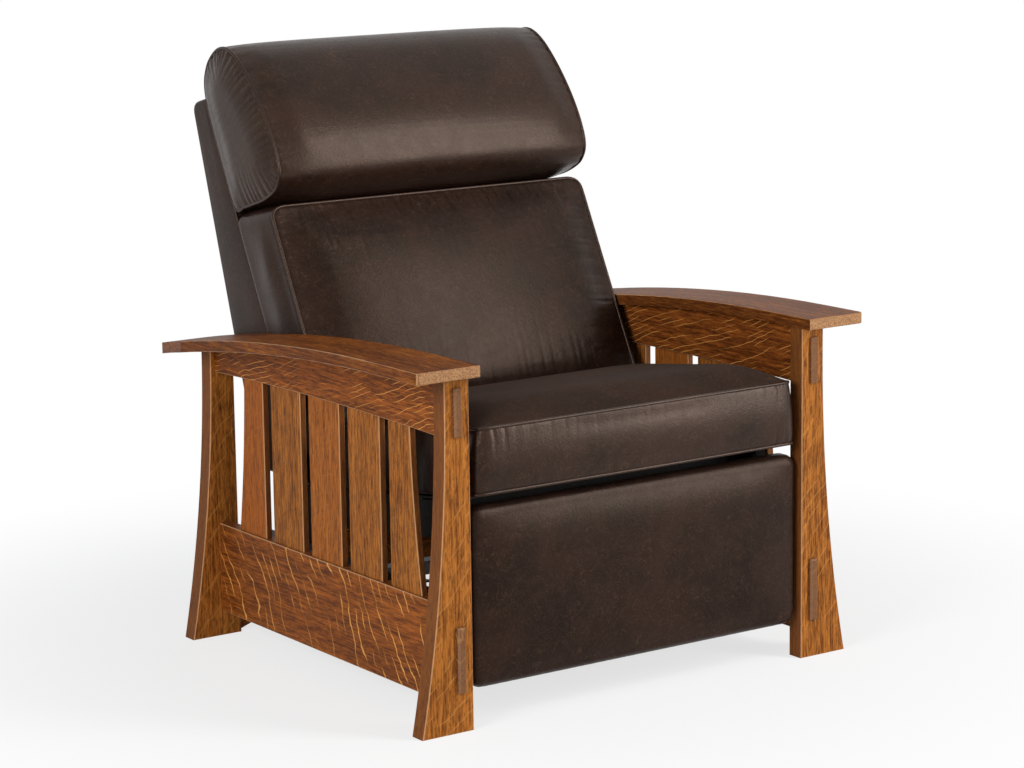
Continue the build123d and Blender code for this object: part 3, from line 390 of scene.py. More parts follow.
# %% Oak materials, one for each way the grain runs
QUARTER = math.pi / 2
GRAIN_TURN = {"X": (0, 0, 0), "Y": (0, 0, -QUARTER), "Z": (0, QUARTER, 0)}
SLAT_PITCH = 122.5 * MM
SLAT_START = 108.5 * MM
POST_FRONT = 429 * MM
TENON_SHARE = 0.6
OAK_SHINE = 0.08


def oak(name, along, flecks, tone, red, edge="X", side_shading=0.5, end=0.5, boards=False, tenons=False):
    """Oak whose grain runs along one axis. Flecks are (amount, closeness, slant). Faces square to
    the edge axis are browner and lose their flecks by the next share: partly the flat-sawn grain of
    those faces, and partly painted shade. Faces square to the grain show end grain by end. Bevels
    are paler, a painted highlight. Boards side by side can have their own tones, and tenons darkens
    what stands proud of the front posts."""
    material, tree, shader, coordinates = new_material(name)
    turned = tree.nodes.new("ShaderNodeMapping")
    turned.inputs["Rotation"].default_value = GRAIN_TURN[along]
    link(tree, coordinates["Object"], turned.inputs["Vector"])
    figure = tree.nodes.new("ShaderNodeGroup")
    figure.node_tree = oak_figure
    link(tree, turned.outputs[0], figure.inputs["Vector"])
    for label, value in zip(("Flecks", "Closeness", "Slant", "Tone", "Red"), (*flecks, tone, red)):
        figure.inputs[label].default_value = value
    normal = components(tree, coordinates["Normal"])
    facing = {axis: maths(tree, "ABSOLUTE", normal[axis], 0) for axis in "XYZ"}
    # The side-face share is partly flat-sawn grain and partly painted shade.
    for label, axis, amount in (("End Grain", along, end), ("Side Shade", edge, side_shading)):
        squared = product(tree, graded(tree, facing[axis], 0.85, 0.95), amount)
        link(tree, squared, figure.inputs[label])
    # Bevels, square to no axis, turn pale tan: a painted highlight.
    squarest = functools.reduce(functools.partial(maths, tree, "MAXIMUM"), facing.values())
    bevel_highlight = maths(tree, "SUBTRACT", 1, graded(tree, squarest, 0.78, 0.90))
    link(tree, bevel_highlight, figure.inputs["Arris Highlight"])
    _, back_along, _ = components(tree, coordinates["Object"])
    if boards:
        steps = maths(tree, "DIVIDE", total(tree, back_along, SLAT_START), SLAT_PITCH)
        own = tree.nodes.new("ShaderNodeTexWhiteNoise")
        own.noise_dimensions = "1D"
        link(tree, maths(tree, "FLOOR", steps, 0), own.inputs["W"])
        own_tone = total(tree, product(tree, own.outputs["Value"], 0.3), tone - 0.15)
        link(tree, own_tone, figure.inputs["Tone"])
        link(tree, product(tree, own.outputs["Value"], 0.9), figure.inputs["Red"])
    color = figure.outputs["Color"]
    if tenons:
        forward = product(tree, back_along, -1)
        proud = graded(tree, forward, POST_FRONT - 0.4 * MM, POST_FRONT + 0.4 * MM)
        color = blended(tree, product(tree, proud, TENON_SHARE), color, TENON_BROWN)
    link(tree, color, shader.inputs["Base Color"])
    link(tree, figure.outputs["Roughness"], shader.inputs["Roughness"])
    link(tree, raised(tree, figure.outputs["Height"], 0.35, 0.6 * MM), shader.inputs["Normal"])
    shader.inputs["Specular IOR Level"].default_value = OAK_SHINE
    shader.inputs["Specular Tint"].default_value = (1, 0.78, 0.56, 1)
    return material


# %% The oaks
# The share after the edge axis is how much painted shade, with flat-sawn brown, the side faces
# take.
oak_upright = oak("oak_upright", "Z", (0.28, 330, 0.8), 0.62, 0.15, side_shading=1.0)
oak_slats = oak("oak_slats", "Z", (0.08, 600, 0.4), 0.62, 0.25, edge="Y", side_shading=1.0, boards=True)
oak_rail = oak("oak_rail", "Y", (1.0, 290, -0.5), 0.42, 0.75, edge="Z", tenons=True)
oak_upper_rail = oak("oak_upper_rail", "Y", (0.85, 700, 1.25), 0.40, 0.8, edge="Z", tenons=True)
# The arms get a lower tone than the other oaks: painted shade on the arms.
oak_arm_painted_shade = oak("oak_arm_painted_shade", "Y", (0.10, 500, 1.3), 0.26, 0.5, side_shading=0.3, end=0.9)
oak_stretcher = oak("oak_stretcher", "X", (0.5, 300, 0.3), 0.45, 0.5, edge="Z")
print("oak materials:", [m.name for m in bpy.data.materials if m.name.startswith("oak")])

# %% [markdown]
# ## Leather
#
# The hide is a dark brown pull-up leather: where it is stretched, the wax moves and the colour
# turns lighter and redder. So the colour is a slow mottling, with fine paler veins. A painted
# texture would need each panel unwrapped, while noise in space needs no unwrapping. The grain is a
# cell pattern under two millimetres across that only feeds the bump, as it is too fine to shape.

# %% The hide as a node group
HIDE_DARK = (0.009, 0.0042, 0.0028, 1)
HIDE_MID = (0.0215, 0.0097, 0.0065, 1)
HIDE_RUST = (0.052, 0.022, 0.0125, 1)
HIDE_PALE = (0.105, 0.062, 0.042, 1)
RUST_SHARE = 0.09
VEIN_WIDTH = 0.018
GRAIN_CELLS = 620

hide, hide_in, hide_out = new_group(
    "hide",
    [("Vector", "NodeSocketVector", None), ("Veins", "NodeSocketFloat", 0.5)],
    [("Color", "NodeSocketColor"), ("Roughness", "NodeSocketFloat"), ("Height", "NodeSocketFloat")],
)
hide_at = hide_in.outputs["Vector"]
clouds = stretched_noise(hide, hide_at, (7, 7, 7), 3, 0.6)
mottle = stretched_noise(hide, hide_at, (38, 38, 38), 5, 0.8, 0.65)
rust = graded(hide, stretched_noise(hide, hide_at, (16, 16, 16), 4, 1.2, 0.6), 0.5, 0.72)
vein = stretched_noise(hide, hide_at, (42, 42, 42), 5, 2.2, 0.6)
vein_off = maths(hide, "ABSOLUTE", maths(hide, "SUBTRACT", vein, 0.5), 0)
veins = maths(hide, "SUBTRACT", 1, graded(hide, vein_off, 0.0, VEIN_WIDTH))
vein_patch = total(hide, 0.35, product(hide, rust, 0.4))
hide_color = blended(hide, graded(hide, clouds, 0.32, 0.68), HIDE_DARK, HIDE_MID)
for share, over in (
    (product(hide, graded(hide, mottle, 0.35, 0.75), 0.5), HIDE_MID),
    (product(hide, rust, RUST_SHARE), HIDE_RUST),
    (product(hide, veins, vein_patch, hide_in.outputs["Veins"]), HIDE_PALE),
):
    hide_color = blended(hide, share, hide_color, over)
cells = hide.nodes.new("ShaderNodeTexVoronoi")
cells.inputs["Scale"].default_value = GRAIN_CELLS
link(hide, hide_at, cells.inputs["Vector"])
creases = stretched_noise(hide, hide_at, (120, 120, 120), 3, 1.5)
link(hide, hide_color, hide_out.inputs["Color"])
link(hide, total(hide, 0.22, product(hide, mottle, 0.22)), hide_out.inputs["Roughness"])
hide_relief = total(hide, product(hide, cells.outputs["Distance"], 0.35), creases)
link(hide, hide_relief, hide_out.inputs["Height"])
print("hide has", len(hide.nodes), "nodes")


# %% Leathers
def leather(name, veins, strength, shine, dulled=0.0):
    """Brown hide with that much veining, bump and shine. Use can dull the faces that look up."""
    material, tree, shader, coordinates = new_material(name)
    skin_of = tree.nodes.new("ShaderNodeGroup")
    skin_of.node_tree = hide
    skin_of.inputs["Veins"].default_value = veins
    link(tree, coordinates["Object"], skin_of.inputs["Vector"])
    _, _, upward = components(tree, coordinates["Normal"])
    worn = product(tree, graded(tree, upward, 0.5, 0.9), dulled)
    link(tree, skin_of.outputs["Color"], shader.inputs["Base Color"])
    link(tree, total(tree, skin_of.outputs["Roughness"], worn), shader.inputs["Roughness"])
    link(tree, raised(tree, skin_of.outputs["Height"], strength, 1.2 * MM), shader.inputs["Normal"])
    shader.inputs["Specular IOR Level"].default_value = shine
    shader.inputs["Specular Tint"].default_value = (1, 0.74, 0.59, 1)
    return material


leather_panel = leather("leather_panel", 0.7, 0.22, 0.15)
leather_seat = leather("leather_seat", 0.7, 0.22, 0.28, dulled=0.6)
leather_roll = leather("leather_roll", 0.7, 0.22, 0.26)
leather_welt = leather("leather_welt", 0.2, 0.15, 0.3)
print("leather materials:", [m.name for m in bpy.data.materials if m.name.startswith("leather")])


# %% [markdown]
# ## Hidden materials
#
# The mechanism is black painted steel with zinc-plated pins, on plain wooden rails. The wood of the
# # blackwood slot is near black instead: painted shade for the inside of the chair. It all shows
# only
# # from below and when the chair is open, so each finish is one colour with a little uneven wear.

# %% Plain finishes for the mechanism and the stuffing
def plain(name, color, worn, metallic, roughness, scale):
    """A finish that drifts between two near colours, with uneven roughness and a little bump."""
    material, tree, shader, coordinates = new_material(name)
    drift = stretched_noise(tree, coordinates["Object"], scale, 4, 0.3)
    shade = blended(tree, graded(tree, drift, 0.35, 0.7), (*color, 1), (*worn, 1))
    link(tree, shade, shader.inputs["Base Color"])
    link(tree, total(tree, roughness, product(tree, drift, 0.15)), shader.inputs["Roughness"])
    link(tree, raised(tree, drift, 0.15, 0.5 * MM), shader.inputs["Normal"])
    shader.inputs["Metallic"].default_value = metallic
    return material


finishes = {
    "steel": plain(
        "black_steel", (0.022, 0.022, 0.023), (0.045, 0.043, 0.040), 0.6, 0.38, (90, 90, 90)
    ),
    "zinc": plain("zinc_plate", (0.52, 0.52, 0.50), (0.38, 0.38, 0.36), 1.0, 0.30, (140, 140, 140)),
    "nylon": plain("white_nylon", (0.72, 0.70, 0.64), (0.60, 0.58, 0.52), 0.0, 0.45, (60, 60, 60)),
    "plywood": plain("pale_ply", (0.60, 0.43, 0.25), (0.42, 0.28, 0.15), 0.0, 0.60, (8, 60, 260)),
    # The blackwood slot is near black: painted shade for the inside of the chair.
    "blackwood": plain(
        "shade_black_wood", (0.012, 0.010, 0.009), (0.030, 0.022, 0.017), 0.0, 0.6, (120, 6, 120)
    ),
    "foam": plain("foam", (0.80, 0.72, 0.50), (0.66, 0.58, 0.38), 0.0, 0.85, (220, 220, 220)),
    "webbing": plain("webbing", (0.05, 0.05, 0.05), (0.10, 0.095, 0.09), 0.0, 0.80, (700, 60, 700)),
    "leather": leather_panel,
    "oak": oak_upright,
}
oak_of = {
    "slats": oak_slats,
    "upper_rail": oak_upper_rail,
    "rail": oak_rail,
    "arm_": oak_arm_painted_shade,
    "stretcher": oak_stretcher,
}
slot_of = {row["node"]: row["material_slot"] for row in frame["record"]["subparts"]}
for node_name, node in nodes.items():
    finish = finishes[slot_of[node_name]]
    if slot_of[node_name] == "oak":
        named = (kind for word, kind in oak_of.items() if word in node_name)
        finish = next(named, oak_upright)
    for held in node.material_slots:
        held.material = finish
print("dressed nodes:", len(slot_of))

# %% [markdown]
# ## Places on the seat and on the back
#
# The seat deck is tilted 8 degrees and the back leans 27 degrees. Every cushion is drawn flat on
# one of these two planes and then placed, which is how an upholsterer marks it out too.

# %% The two leaning planes
SEAT_TILT = math.radians(8)
BACK_LEAN = math.radians(27)
DECK_Y, DECK_Z = -410, 366
BACK_Y, BACK_Z = 109, 345


def on_seat(x, along, height):
    """Point arrays on the seat, in mm: along runs back over the deck, height stands on it, and
    both are turned by the tilt about the deck's front edge."""
    y = DECK_Y + along * math.cos(SEAT_TILT) + height * math.sin(SEAT_TILT)
    z = DECK_Z - along * math.sin(SEAT_TILT) + height * math.cos(SEAT_TILT)
    return np.stack(np.broadcast_arrays(x, y, z), -1) * MM


def on_back(x, rise, out):
    """Point arrays on the back, in mm: rise runs up its front edges, out stands in front, and both
    are turned by the lean about the back's foot."""
    y = BACK_Y + rise * math.sin(BACK_LEAN) - out * math.cos(BACK_LEAN)
    z = BACK_Z + rise * math.cos(BACK_LEAN) + out * math.sin(BACK_LEAN)
    return np.stack(np.broadcast_arrays(x, y, z), -1) * MM


def height_on_deck(points):
    """How high points, in metres, stand on the seat deck, in mm: the reverse of on_seat."""
    y, z = points[:, 1] / MM - DECK_Y, points[:, 2] / MM - DECK_Z
    return y * math.sin(SEAT_TILT) + z * math.cos(SEAT_TILT)


def out_of_back(points):
    """How far points, in metres, stand out from the back's plane, in mm: the reverse of on_back."""
    y, z = points[:, 1] / MM - BACK_Y, points[:, 2] / MM - BACK_Z
    return z * math.sin(BACK_LEAN) - y * math.cos(BACK_LEAN)


print("planes lean, in degrees:", [round(math.degrees(a)) for a in (SEAT_TILT, BACK_LEAN)])

# %% [markdown]
# ## Outlines and skins
#
# Each leather piece is an outline that is carried through a row of levels. At each level the
# outline is drawn in by an inset, as at a rolled edge, and shrunk towards its middle, as on a
# board's back. The rings are joined by quads, and a pole closes each end. A crown is added by
# place, not by ring, because a rise that follows the rings would leave ridges to the corners.

# %% Outlines
CORNER_STEPS = 12


def evenly(path, count, closed=True):
    """Walks a polyline and returns count points at equal steps of its length."""
    whole = np.vstack([path, path[:1]]) if closed else path
    walked = np.r_[0, np.cumsum(np.linalg.norm(np.diff(whole, axis=0), axis=1))]
    at = np.linspace(0, walked[-1], count, endpoint=not closed)
    return np.stack([np.interp(at, walked, whole[:, i]) for i in range(whole.shape[1])], 1)


def rounded_polygon(corners, radii, count=260):
    """Convex outline: each corner is cut back by its radius both ways and joined by a parabola."""
    corners = np.asarray(corners, float)
    radii = np.broadcast_to(np.asarray(radii, float), (len(corners),))[:, None, None]
    before = np.roll(corners, 1, axis=0) - corners
    after = np.roll(corners, -1, axis=0) - corners
    start = before / np.linalg.norm(before, axis=1, keepdims=True)
    end = after / np.linalg.norm(after, axis=1, keepdims=True)
    t = np.linspace(0, 1, CORNER_STEPS)[None, :, None]
    bend = corners[:, None] + radii * ((1 - t) ** 2 * start[:, None] + t**2 * end[:, None])
    return evenly(bend.reshape(-1, 2), count)


def rectangle(half, low, high):
    """The corners, in turn, of a rectangle that reaches half to each side."""
    return [(half, low), (half, high), (-half, high), (-half, low)]


def inward(outline):
    """Unit vectors square to a closed outline that point to its inside."""
    ahead_of = np.roll(outline, -1, axis=0) - np.roll(outline, 1, axis=0)
    square = np.stack([-ahead_of[:, 1], ahead_of[:, 0]], 1)
    square /= np.linalg.norm(square, axis=1, keepdims=True)
    to_middle = ((outline.mean(0) - outline) * square).sum(1).mean()
    return square * np.sign(to_middle)


# %% Levels and crowns
def carried(outline, levels, place):
    """Rings of an outline at levels of (depth, inset, shrink), placed in space by a function."""
    depth, inset, shrink = (column[:, None] for column in np.asarray(levels, float).T)
    middle = outline.mean(0)
    flat = outline[None] + inset[..., None] * inward(outline)[None]
    flat = middle + (flat - middle) * (1 - shrink[..., None])
    return place(flat[..., 0], flat[..., 1], np.broadcast_to(depth, flat.shape[:2]))


def domed(across, along, powers):
    """A panel's rise above its seams: for both coordinates, 1 less the coordinate's size to a
    power, multiplied. It is 1 in the middle and 0 where either coordinate reaches -1 or 1."""
    rises = [1 - np.clip(np.abs(at), 0, 1) ** power for at, power in zip((across, along), powers)]
    return rises[0] * rises[1]


# %% Skins
def mesh_object(name, vertices, faces, material):
    """A smooth mesh object at the origin, with its faces turned outwards."""
    mesh = bpy.data.meshes.new(name)
    mesh.from_pydata(np.asarray(vertices).tolist(), [], [list(f) for f in faces])
    work = bmesh.new()
    work.from_mesh(mesh)
    bmesh.ops.recalc_face_normals(work, faces=work.faces)
    work.to_mesh(mesh)
    work.free()
    mesh.shade_smooth()
    mesh.materials.append(material)
    piece = bpy.data.objects.new(name, mesh)
    bpy.context.scene.collection.objects.link(piece)
    return piece


def skin(name, rings, material, poles=True, loop=False):
    """Joins closed rings, given as ring by point by xyz, and closes them on poles or in a loop."""
    count, around = rings.shape[:2]
    rows = np.arange(count if loop else count - 1)[:, None]
    following = (rows + 1) % count
    here = np.arange(around)[None]
    beside = (here + 1) % around
    ring, next_ring = rows * around, following * around
    corners = (ring + here, ring + beside, next_ring + beside, next_ring + here)
    faces = np.stack(corners, -1).reshape(-1, 4).tolist()
    vertices = rings.reshape(-1, 3)
    if poles:
        vertices = np.vstack([vertices, rings[0].mean(0), rings[-1].mean(0)])
        first_pole = count * around
        for pole, base in ((first_pole, 0), (first_pole + 1, (count - 1) * around)):
            faces += [(pole, base + int(i), base + int(j)) for i, j in zip(here[0], beside[0])]
    return mesh_object(name, vertices, faces, material)


# %% Welts and dressing
WELT_SIDES = 10
WELT_RADIUS = 2.9
WELT_INSET = 1.6
FINE_WELT_RADIUS = 2.2


def piping(name, path, out, radius, loop=True):
    """A round welt along a path of points. At each point a circle of that radius, in mm, stands
    square to the path: its first direction is out, made square to the path, and its second is
    square to both."""
    path = np.asarray(path, float)
    if loop:
        heading = np.roll(path, -1, axis=0) - np.roll(path, 1, axis=0)
    else:
        heading = np.gradient(path, axis=0)
    heading /= np.linalg.norm(heading, axis=1, keepdims=True)
    out = np.broadcast_to(np.asarray(out, float), path.shape)
    side = out - (out * heading).sum(1, keepdims=True) * heading
    side /= np.linalg.norm(side, axis=1, keepdims=True)
    other = np.cross(heading, side)
    turn = np.linspace(0, 2 * np.pi, WELT_SIDES, endpoint=False)[None, :, None]
    circles = np.cos(turn) * side[:, None] + np.sin(turn) * other[:, None]
    rings = path[:, None] + radius * MM * circles
    return skin(name, rings, leather_welt, poles=not loop, loop=loop)


def dress(piece, body, *replaced):
    """Lets a leather piece ride on a body and stand for the nodes that it replaces."""
    if replaced:
        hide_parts(*replaced)
    print(piece.name, "rides on", body)
    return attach(piece, body)


# %% [markdown]
# ## Swelling a cushion
#
# A foam cushion is tight against its cover. It could be sculpted, but a cloth simulation gives
# that look by itself: the cover is remeshed into even cells, blown up by pressure with gravity off,
# and then held back, so that no point moves inwards or more than a cap. Near a seam the cap goes to
# nothing, which keeps every welt in place and lets the panels bulge between them. One subdivision
# smooths the result.

# %% Mesh points as arrays
def points_of(mesh):
    """Vertex coordinates of a mesh as an array."""
    flat = np.empty(len(mesh.vertices) * 3, np.float32)
    mesh.vertices.foreach_get("co", flat)
    return flat.reshape(-1, 3).astype(float)


def set_points(mesh, points):
    """Writes vertex coordinates back."""
    mesh.vertices.foreach_set("co", points.astype(np.float32).ravel())
    mesh.update()


def normals_of(mesh):
    """Unit normals of a mesh's points as an array."""
    flat = np.empty(len(mesh.vertices) * 3, np.float32)
    mesh.vertex_normals.foreach_get("vector", flat)
    return flat.reshape(-1, 3)


def freeze(piece):
    """Applies the modifiers of a piece to its mesh."""
    graph = bpy.context.evaluated_depsgraph_get()
    applied = bpy.data.meshes.new_from_object(piece.evaluated_get(graph))
    piece.modifiers.clear()
    piece.data = applied


# %% Distances and easings
def nearest(points, path):
    """For each point, its distance to a path's nearest point, and the path's length up to there."""
    steps = np.linalg.norm(np.diff(path, axis=0), axis=1)
    walked = np.r_[0, np.cumsum(steps)]
    gaps, places = [], []
    for block in np.array_split(points, max(1, len(points) // 3000)):
        apart = np.linalg.norm(block[:, None] - path[None], axis=2)
        best = apart.argmin(1)
        gaps.append(apart[np.arange(len(block)), best])
        places.append(walked[best])
    return np.concatenate(gaps), np.concatenate(places)


def eased(value, low, high):
    """Smooth step from 0 at low to 1 at high: 3 t squared less 2 t cubed."""
    t = np.clip((value - low) / (high - low), 0, 1)
    return t * t * (3 - 2 * t)


def calmed(field, mesh, rounds):
    """Moves a vector field halfway to the mean of each point's neighbours, so many rounds, so that
    no stray crease is left."""
    pairs = np.empty(len(mesh.edges) * 2, np.int32)
    mesh.edges.foreach_get("vertices", pairs)
    first, second = pairs.reshape(-1, 2).T
    links = np.maximum(np.bincount(pairs, minlength=len(field)), 1)[:, None]
    for _ in range(rounds):
        around = np.zeros_like(field)
        for axis in range(3):
            around[:, axis] = np.bincount(first, field[second, axis], len(field))
            around[:, axis] += np.bincount(second, field[first, axis], len(field))
        field = 0.5 * field + 0.5 * around / links
    return field


# %% The swelling
CLOTH_FRAMES = 20
CLOTH_PRESSURE = 4


def swell(piece, cell, cap, seams, reach, rests, calm=25):
    """Blows a piece up under pressure, outwards only. Lengths are in mm. No move is longer than the
    cap times an easing from 0 at a seam to 1 at reach, times what rests gives for the points."""
    remesh = piece.modifiers.new("even_cells", "REMESH")
    remesh.mode = "VOXEL"
    remesh.voxel_size = cell * MM
    freeze(piece)
    rest = points_of(piece.data)
    moved = rest
    cloth = piece.modifiers.new("cloth", "CLOTH")
    cloth.settings.use_pressure = True
    cloth.settings.uniform_pressure_force = CLOTH_PRESSURE
    cloth.settings.effector_weights.gravity = 0
    for number in range(1, CLOTH_FRAMES + 1):
        bpy.context.scene.frame_set(number)
    graph = bpy.context.evaluated_depsgraph_get()
    moved = points_of(piece.evaluated_get(graph).data)
    piece.modifiers.clear()
    bpy.context.scene.frame_set(1)
    away, _ = nearest(rest, np.vstack(seams))
    limit = cap * MM * eased(away, 0, reach * MM) * rests(rest)
    normals = normals_of(piece.data)
    inwards = np.minimum(((moved - rest) * normals).sum(1, keepdims=True), 0) * normals
    move = calmed(moved - rest - inwards, piece.data, calm)
    length = np.linalg.norm(move, axis=1)
    move *= np.minimum(1, limit / np.maximum(length, 1e-9))[:, None]
    set_points(piece.data, rest + move)
    finer = piece.modifiers.new("finer", "SUBSURF")
    finer.levels = finer.render_levels = 1
    freeze(piece)
    piece.data.shade_smooth()
    longest = float(np.linalg.norm(move, axis=1).max() / MM)
    print(piece.name, "swells up to", round(longest, 1), "mm on", len(rest), "points")


# %% Pleats
def pleat(piece, seam, depth, spread, pitch, where, shift=0.0):
    """Presses pleats into a piece beside a seam, in mm: two uneven waves along the seam, added, cut
    to 0 to 1 and squared, times depth. They die away from the seam as a power of e over spread."""
    points = points_of(piece.data)
    away, walked = nearest(points, seam)
    turn = 2 * np.pi * walked / (pitch * MM)
    wave = np.cos(turn + 1.9 * np.sin(turn / 5.3 + shift) + shift)
    wave += 0.35 * np.cos(turn * 1.73 + 2 * shift)
    press = np.clip(0.5 + 0.5 * wave, 0, 1) ** 2 * np.exp(-away / (spread * MM))
    press *= depth * MM * eased(away, 0, 4 * MM) * where(points)
    set_points(piece.data, points - normals_of(piece.data) * press[:, None])


# %% [markdown]
# ## Seat cushion
#
# A boxed cushion: a border between two welts, and a top panel that crowns. A bevelled box would do
# for a first look, but an outline carried through levels puts each seam where its welt runs. The
# front bows out a little, and its face stays upright although the deck is tilted, so each level
# starts a little further forward than the one below.

# %% Seat cushion
SEAT_LEAN = math.tan(SEAT_TILT)
SEAT_HALF, SEAT_FRONT, SEAT_REAR = 324, -18, 386
SEAT_MIDDLE, SEAT_REACH = (SEAT_FRONT + SEAT_REAR) / 2, (SEAT_REAR - SEAT_FRONT) / 2
SEAT_LOW, SEAT_HIGH = 5, 111
BORDER_HEIGHT = SEAT_HIGH - SEAT_LOW
CROWN_RISE = 31
FRONT_BOW = 5
BORDER_BULGE = 4.5
SEAT_TAPER = 0.028


# %% Seat surface
def seat_place(x, along, height):
    """Places the cushion's rings: it narrows by the taper from its foot to its top welt, its front
    is moved forward with height so that it stays upright, and its top is domed inside the welt."""
    share = np.clip((height - SEAT_LOW) / BORDER_HEIGHT, 0, 1)
    front = np.clip((200 - along) / 200, 0, 1)
    dome = domed(x / SEAT_HALF, (along - SEAT_MIDDLE) / SEAT_REACH, (12, 7))
    risen = height + CROWN_RISE * (height >= SEAT_HIGH) * dome
    return on_seat(x * (1 - SEAT_TAPER * share), along - height * SEAT_LEAN * front, risen)


def off_deck(points):
    """0 at the seat deck, 1 from 40 mm above it."""
    return eased(height_on_deck(points), 2, 40)


seat_corners = rectangle(SEAT_HALF, SEAT_FRONT, SEAT_REAR)
seat_outline = rounded_polygon(seat_corners, (20, 22, 22, 20), 300)
front_share = eased(-seat_outline[:, 1], -60, 18)
seat_outline[:, 1] -= FRONT_BOW * front_share * (1 - (seat_outline[:, 0] / SEAT_HALF) ** 2)
seat_levels = [(0.6 + 4.4 * (1 - t) ** 14, 0, t) for t in np.linspace(0.97, 0, 26)]
for t in np.linspace(0.04, 0.96, 20):
    seat_levels.append((SEAT_LOW + BORDER_HEIGHT * t, -BORDER_BULGE * math.sin(math.pi * t), 0))
seat_levels += [(SEAT_HIGH, 0, t) for t in np.linspace(0, 0.97, 50)]
seat_rings = carried(seat_outline, seat_levels, seat_place)
seat_cushion = skin("seat_cushion_leather", seat_rings, leather_seat)
seat_low, seat_high = (
    carried(seat_outline, [(height, 0, 0)], seat_place)[0] for height in (SEAT_LOW, SEAT_HIGH)
)
swell(seat_cushion, 6, 7, [seat_low, seat_high], 70, off_deck)


# %% Seat pleats and welts
def front_border(points):
    """0 on the seat's top. On its border 0.25, and up to 1 near the corners, by a bell curve."""
    corners = np.exp(-(((np.abs(points[:, 0]) / MM - 300) / 50) ** 2))
    return (height_on_deck(points) < SEAT_HIGH) * (0.25 + 0.75 * corners)


pleat(seat_cushion, seat_high, 1.6, 24, 26, front_border, 0.6)
pleat(seat_cushion, seat_low, 1.4, 20, 31, front_border, 2.1)
dress(seat_cushion, "seat", "seat_cushion", "seat_cushion_core")
deck_normal = (0, math.sin(SEAT_TILT), math.cos(SEAT_TILT))
for label, height in (("low", SEAT_LOW + 1.5), ("high", SEAT_HIGH - 1.5)):
    welt_path = carried(seat_outline, [(height, WELT_INSET, 0)], seat_place)[0]
    dress(piping(f"seat_welt_{label}", welt_path, deck_normal, WELT_RADIUS), "seat")

# %% [markdown]
# ## Back cushion
#
# The back cushion is a leaning box with a pillowed front. Its top is cut at a slant, and the
# headrest rolls over it. It is made like the seat cushion but on the back's plane, so that both
# share the same helpers. The front panel is gathered a little on its welt.

# %% Back cushion
BACK_HALF, BACK_FOOT, BACK_TOP = 323, -8, 443
BACK_MIDDLE, BACK_REACH = (BACK_FOOT + BACK_TOP) / 2, (BACK_TOP - BACK_FOOT) / 2
BACK_SEAM = 126
PILLOW_RISE = 28
TOP_SLANT = 0.28


# %% Back surface
def back_place(x, rise, out):
    """Places the cushion's rings: its top is lower by the slant for each mm that a level stands
    out, and its front is domed inside the seam."""
    high = np.clip((rise - 150) / 294, 0, 1)
    dome = domed(x / BACK_HALF, (rise - BACK_MIDDLE) / BACK_REACH, (2.5, 2.5))
    return on_back(x, rise - TOP_SLANT * out * high, out + PILLOW_RISE * (out >= BACK_SEAM) * dome)


def off_board(points):
    """0 at the back's boards, 1 from 50 mm in front of them."""
    return eased(out_of_back(points), 4, 50)


back_corners = rectangle(BACK_HALF, BACK_FOOT, BACK_TOP)
back_outline = rounded_polygon(back_corners, (26, 30, 30, 26), 300)
back_levels = [(0.6 + 4 * (1 - t) ** 14, 0, t) for t in np.linspace(0.97, 0, 20)]
back_levels += [(4.6 + 121 * t, -math.sin(math.pi * t), 0) for t in np.linspace(0.04, 1, 24)]
back_levels += [(BACK_SEAM, 0, t) for t in np.linspace(0.004, 0.97, 40)]
back_rings = carried(back_outline, back_levels, back_place)
back_cushion = skin("back_cushion_leather", back_rings, leather_panel)
back_seam = carried(back_outline, [(BACK_SEAM, 0, 0)], back_place)[0]
swell(back_cushion, 6, 8, [back_seam], 80, off_board)


# %% Back pleats and welt
def on_pillow(points):
    """1 on the front panel of the back cushion, 0 behind its seam."""
    return eased(out_of_back(points), BACK_SEAM, BACK_SEAM + 5)


pleat(back_cushion, back_seam, 2.6, 42, 21, on_pillow, 1.0)
dress(back_cushion, "back", "back_cushion", "back_cushion_core")
out_normal = (0, -math.cos(BACK_LEAN), math.sin(BACK_LEAN))
welt_path = carried(back_outline, [(BACK_SEAM - 1.5, WELT_INSET, 0)], back_place)[0]
dress(piping("back_welt", welt_path, out_normal, WELT_RADIUS), "back")

# %% [markdown]
# ## Headrest
#
# The headrest is a roll: one wide panel wraps from the back's top, over the front and in again
# under the fold. A flat panel closes each end, and the leather is gathered where it meets the
# welt. A stretched cylinder would come near, but the real section isn't round. So it is drawn as a
# smooth closed curve through a few points on the back's plane, and carried from end to end.

# %% Headrest
def through(corners, count):
    """Closed smooth curve through points. Each stretch is a cubic in t that leaves a point, and
    comes into the next, along half the step between that point's two neighbours."""
    p = np.asarray(corners, float)
    t = np.linspace(0, 1, 24, endpoint=False)[None, :, None]
    p0, p1, p2, p3 = (np.roll(p, s, axis=0)[:, None] for s in (1, 0, -1, -2))
    square, cube = 2 * p0 - 5 * p1 + 4 * p2 - p3, 3 * p1 - p0 - 3 * p2 + p3
    curve = 0.5 * (2 * p1 + (p2 - p0) * t + square * t**2 + cube * t**3)
    return evenly(curve.reshape(-1, 2), count)


head_section = through(
    [
        (446, 5), (436, 38), (429, 72), (423, 106), (422, 142), (427, 161), (440, 177), (462, 185),
        (500, 187), (551, 182), (612, 168), (668, 147), (703, 121), (717, 88), (712, 52), (699, 30),
        (682, 16), (654, 7), (600, 3), (520, 2),
    ],
    280,
)
HEAD_MIDDLE = np.array([575.0, 88.0])
HEAD_HALF = 318
END_SHRINK = 0.025
END_BULGE = 8
ROLL_SWELL = 0.05


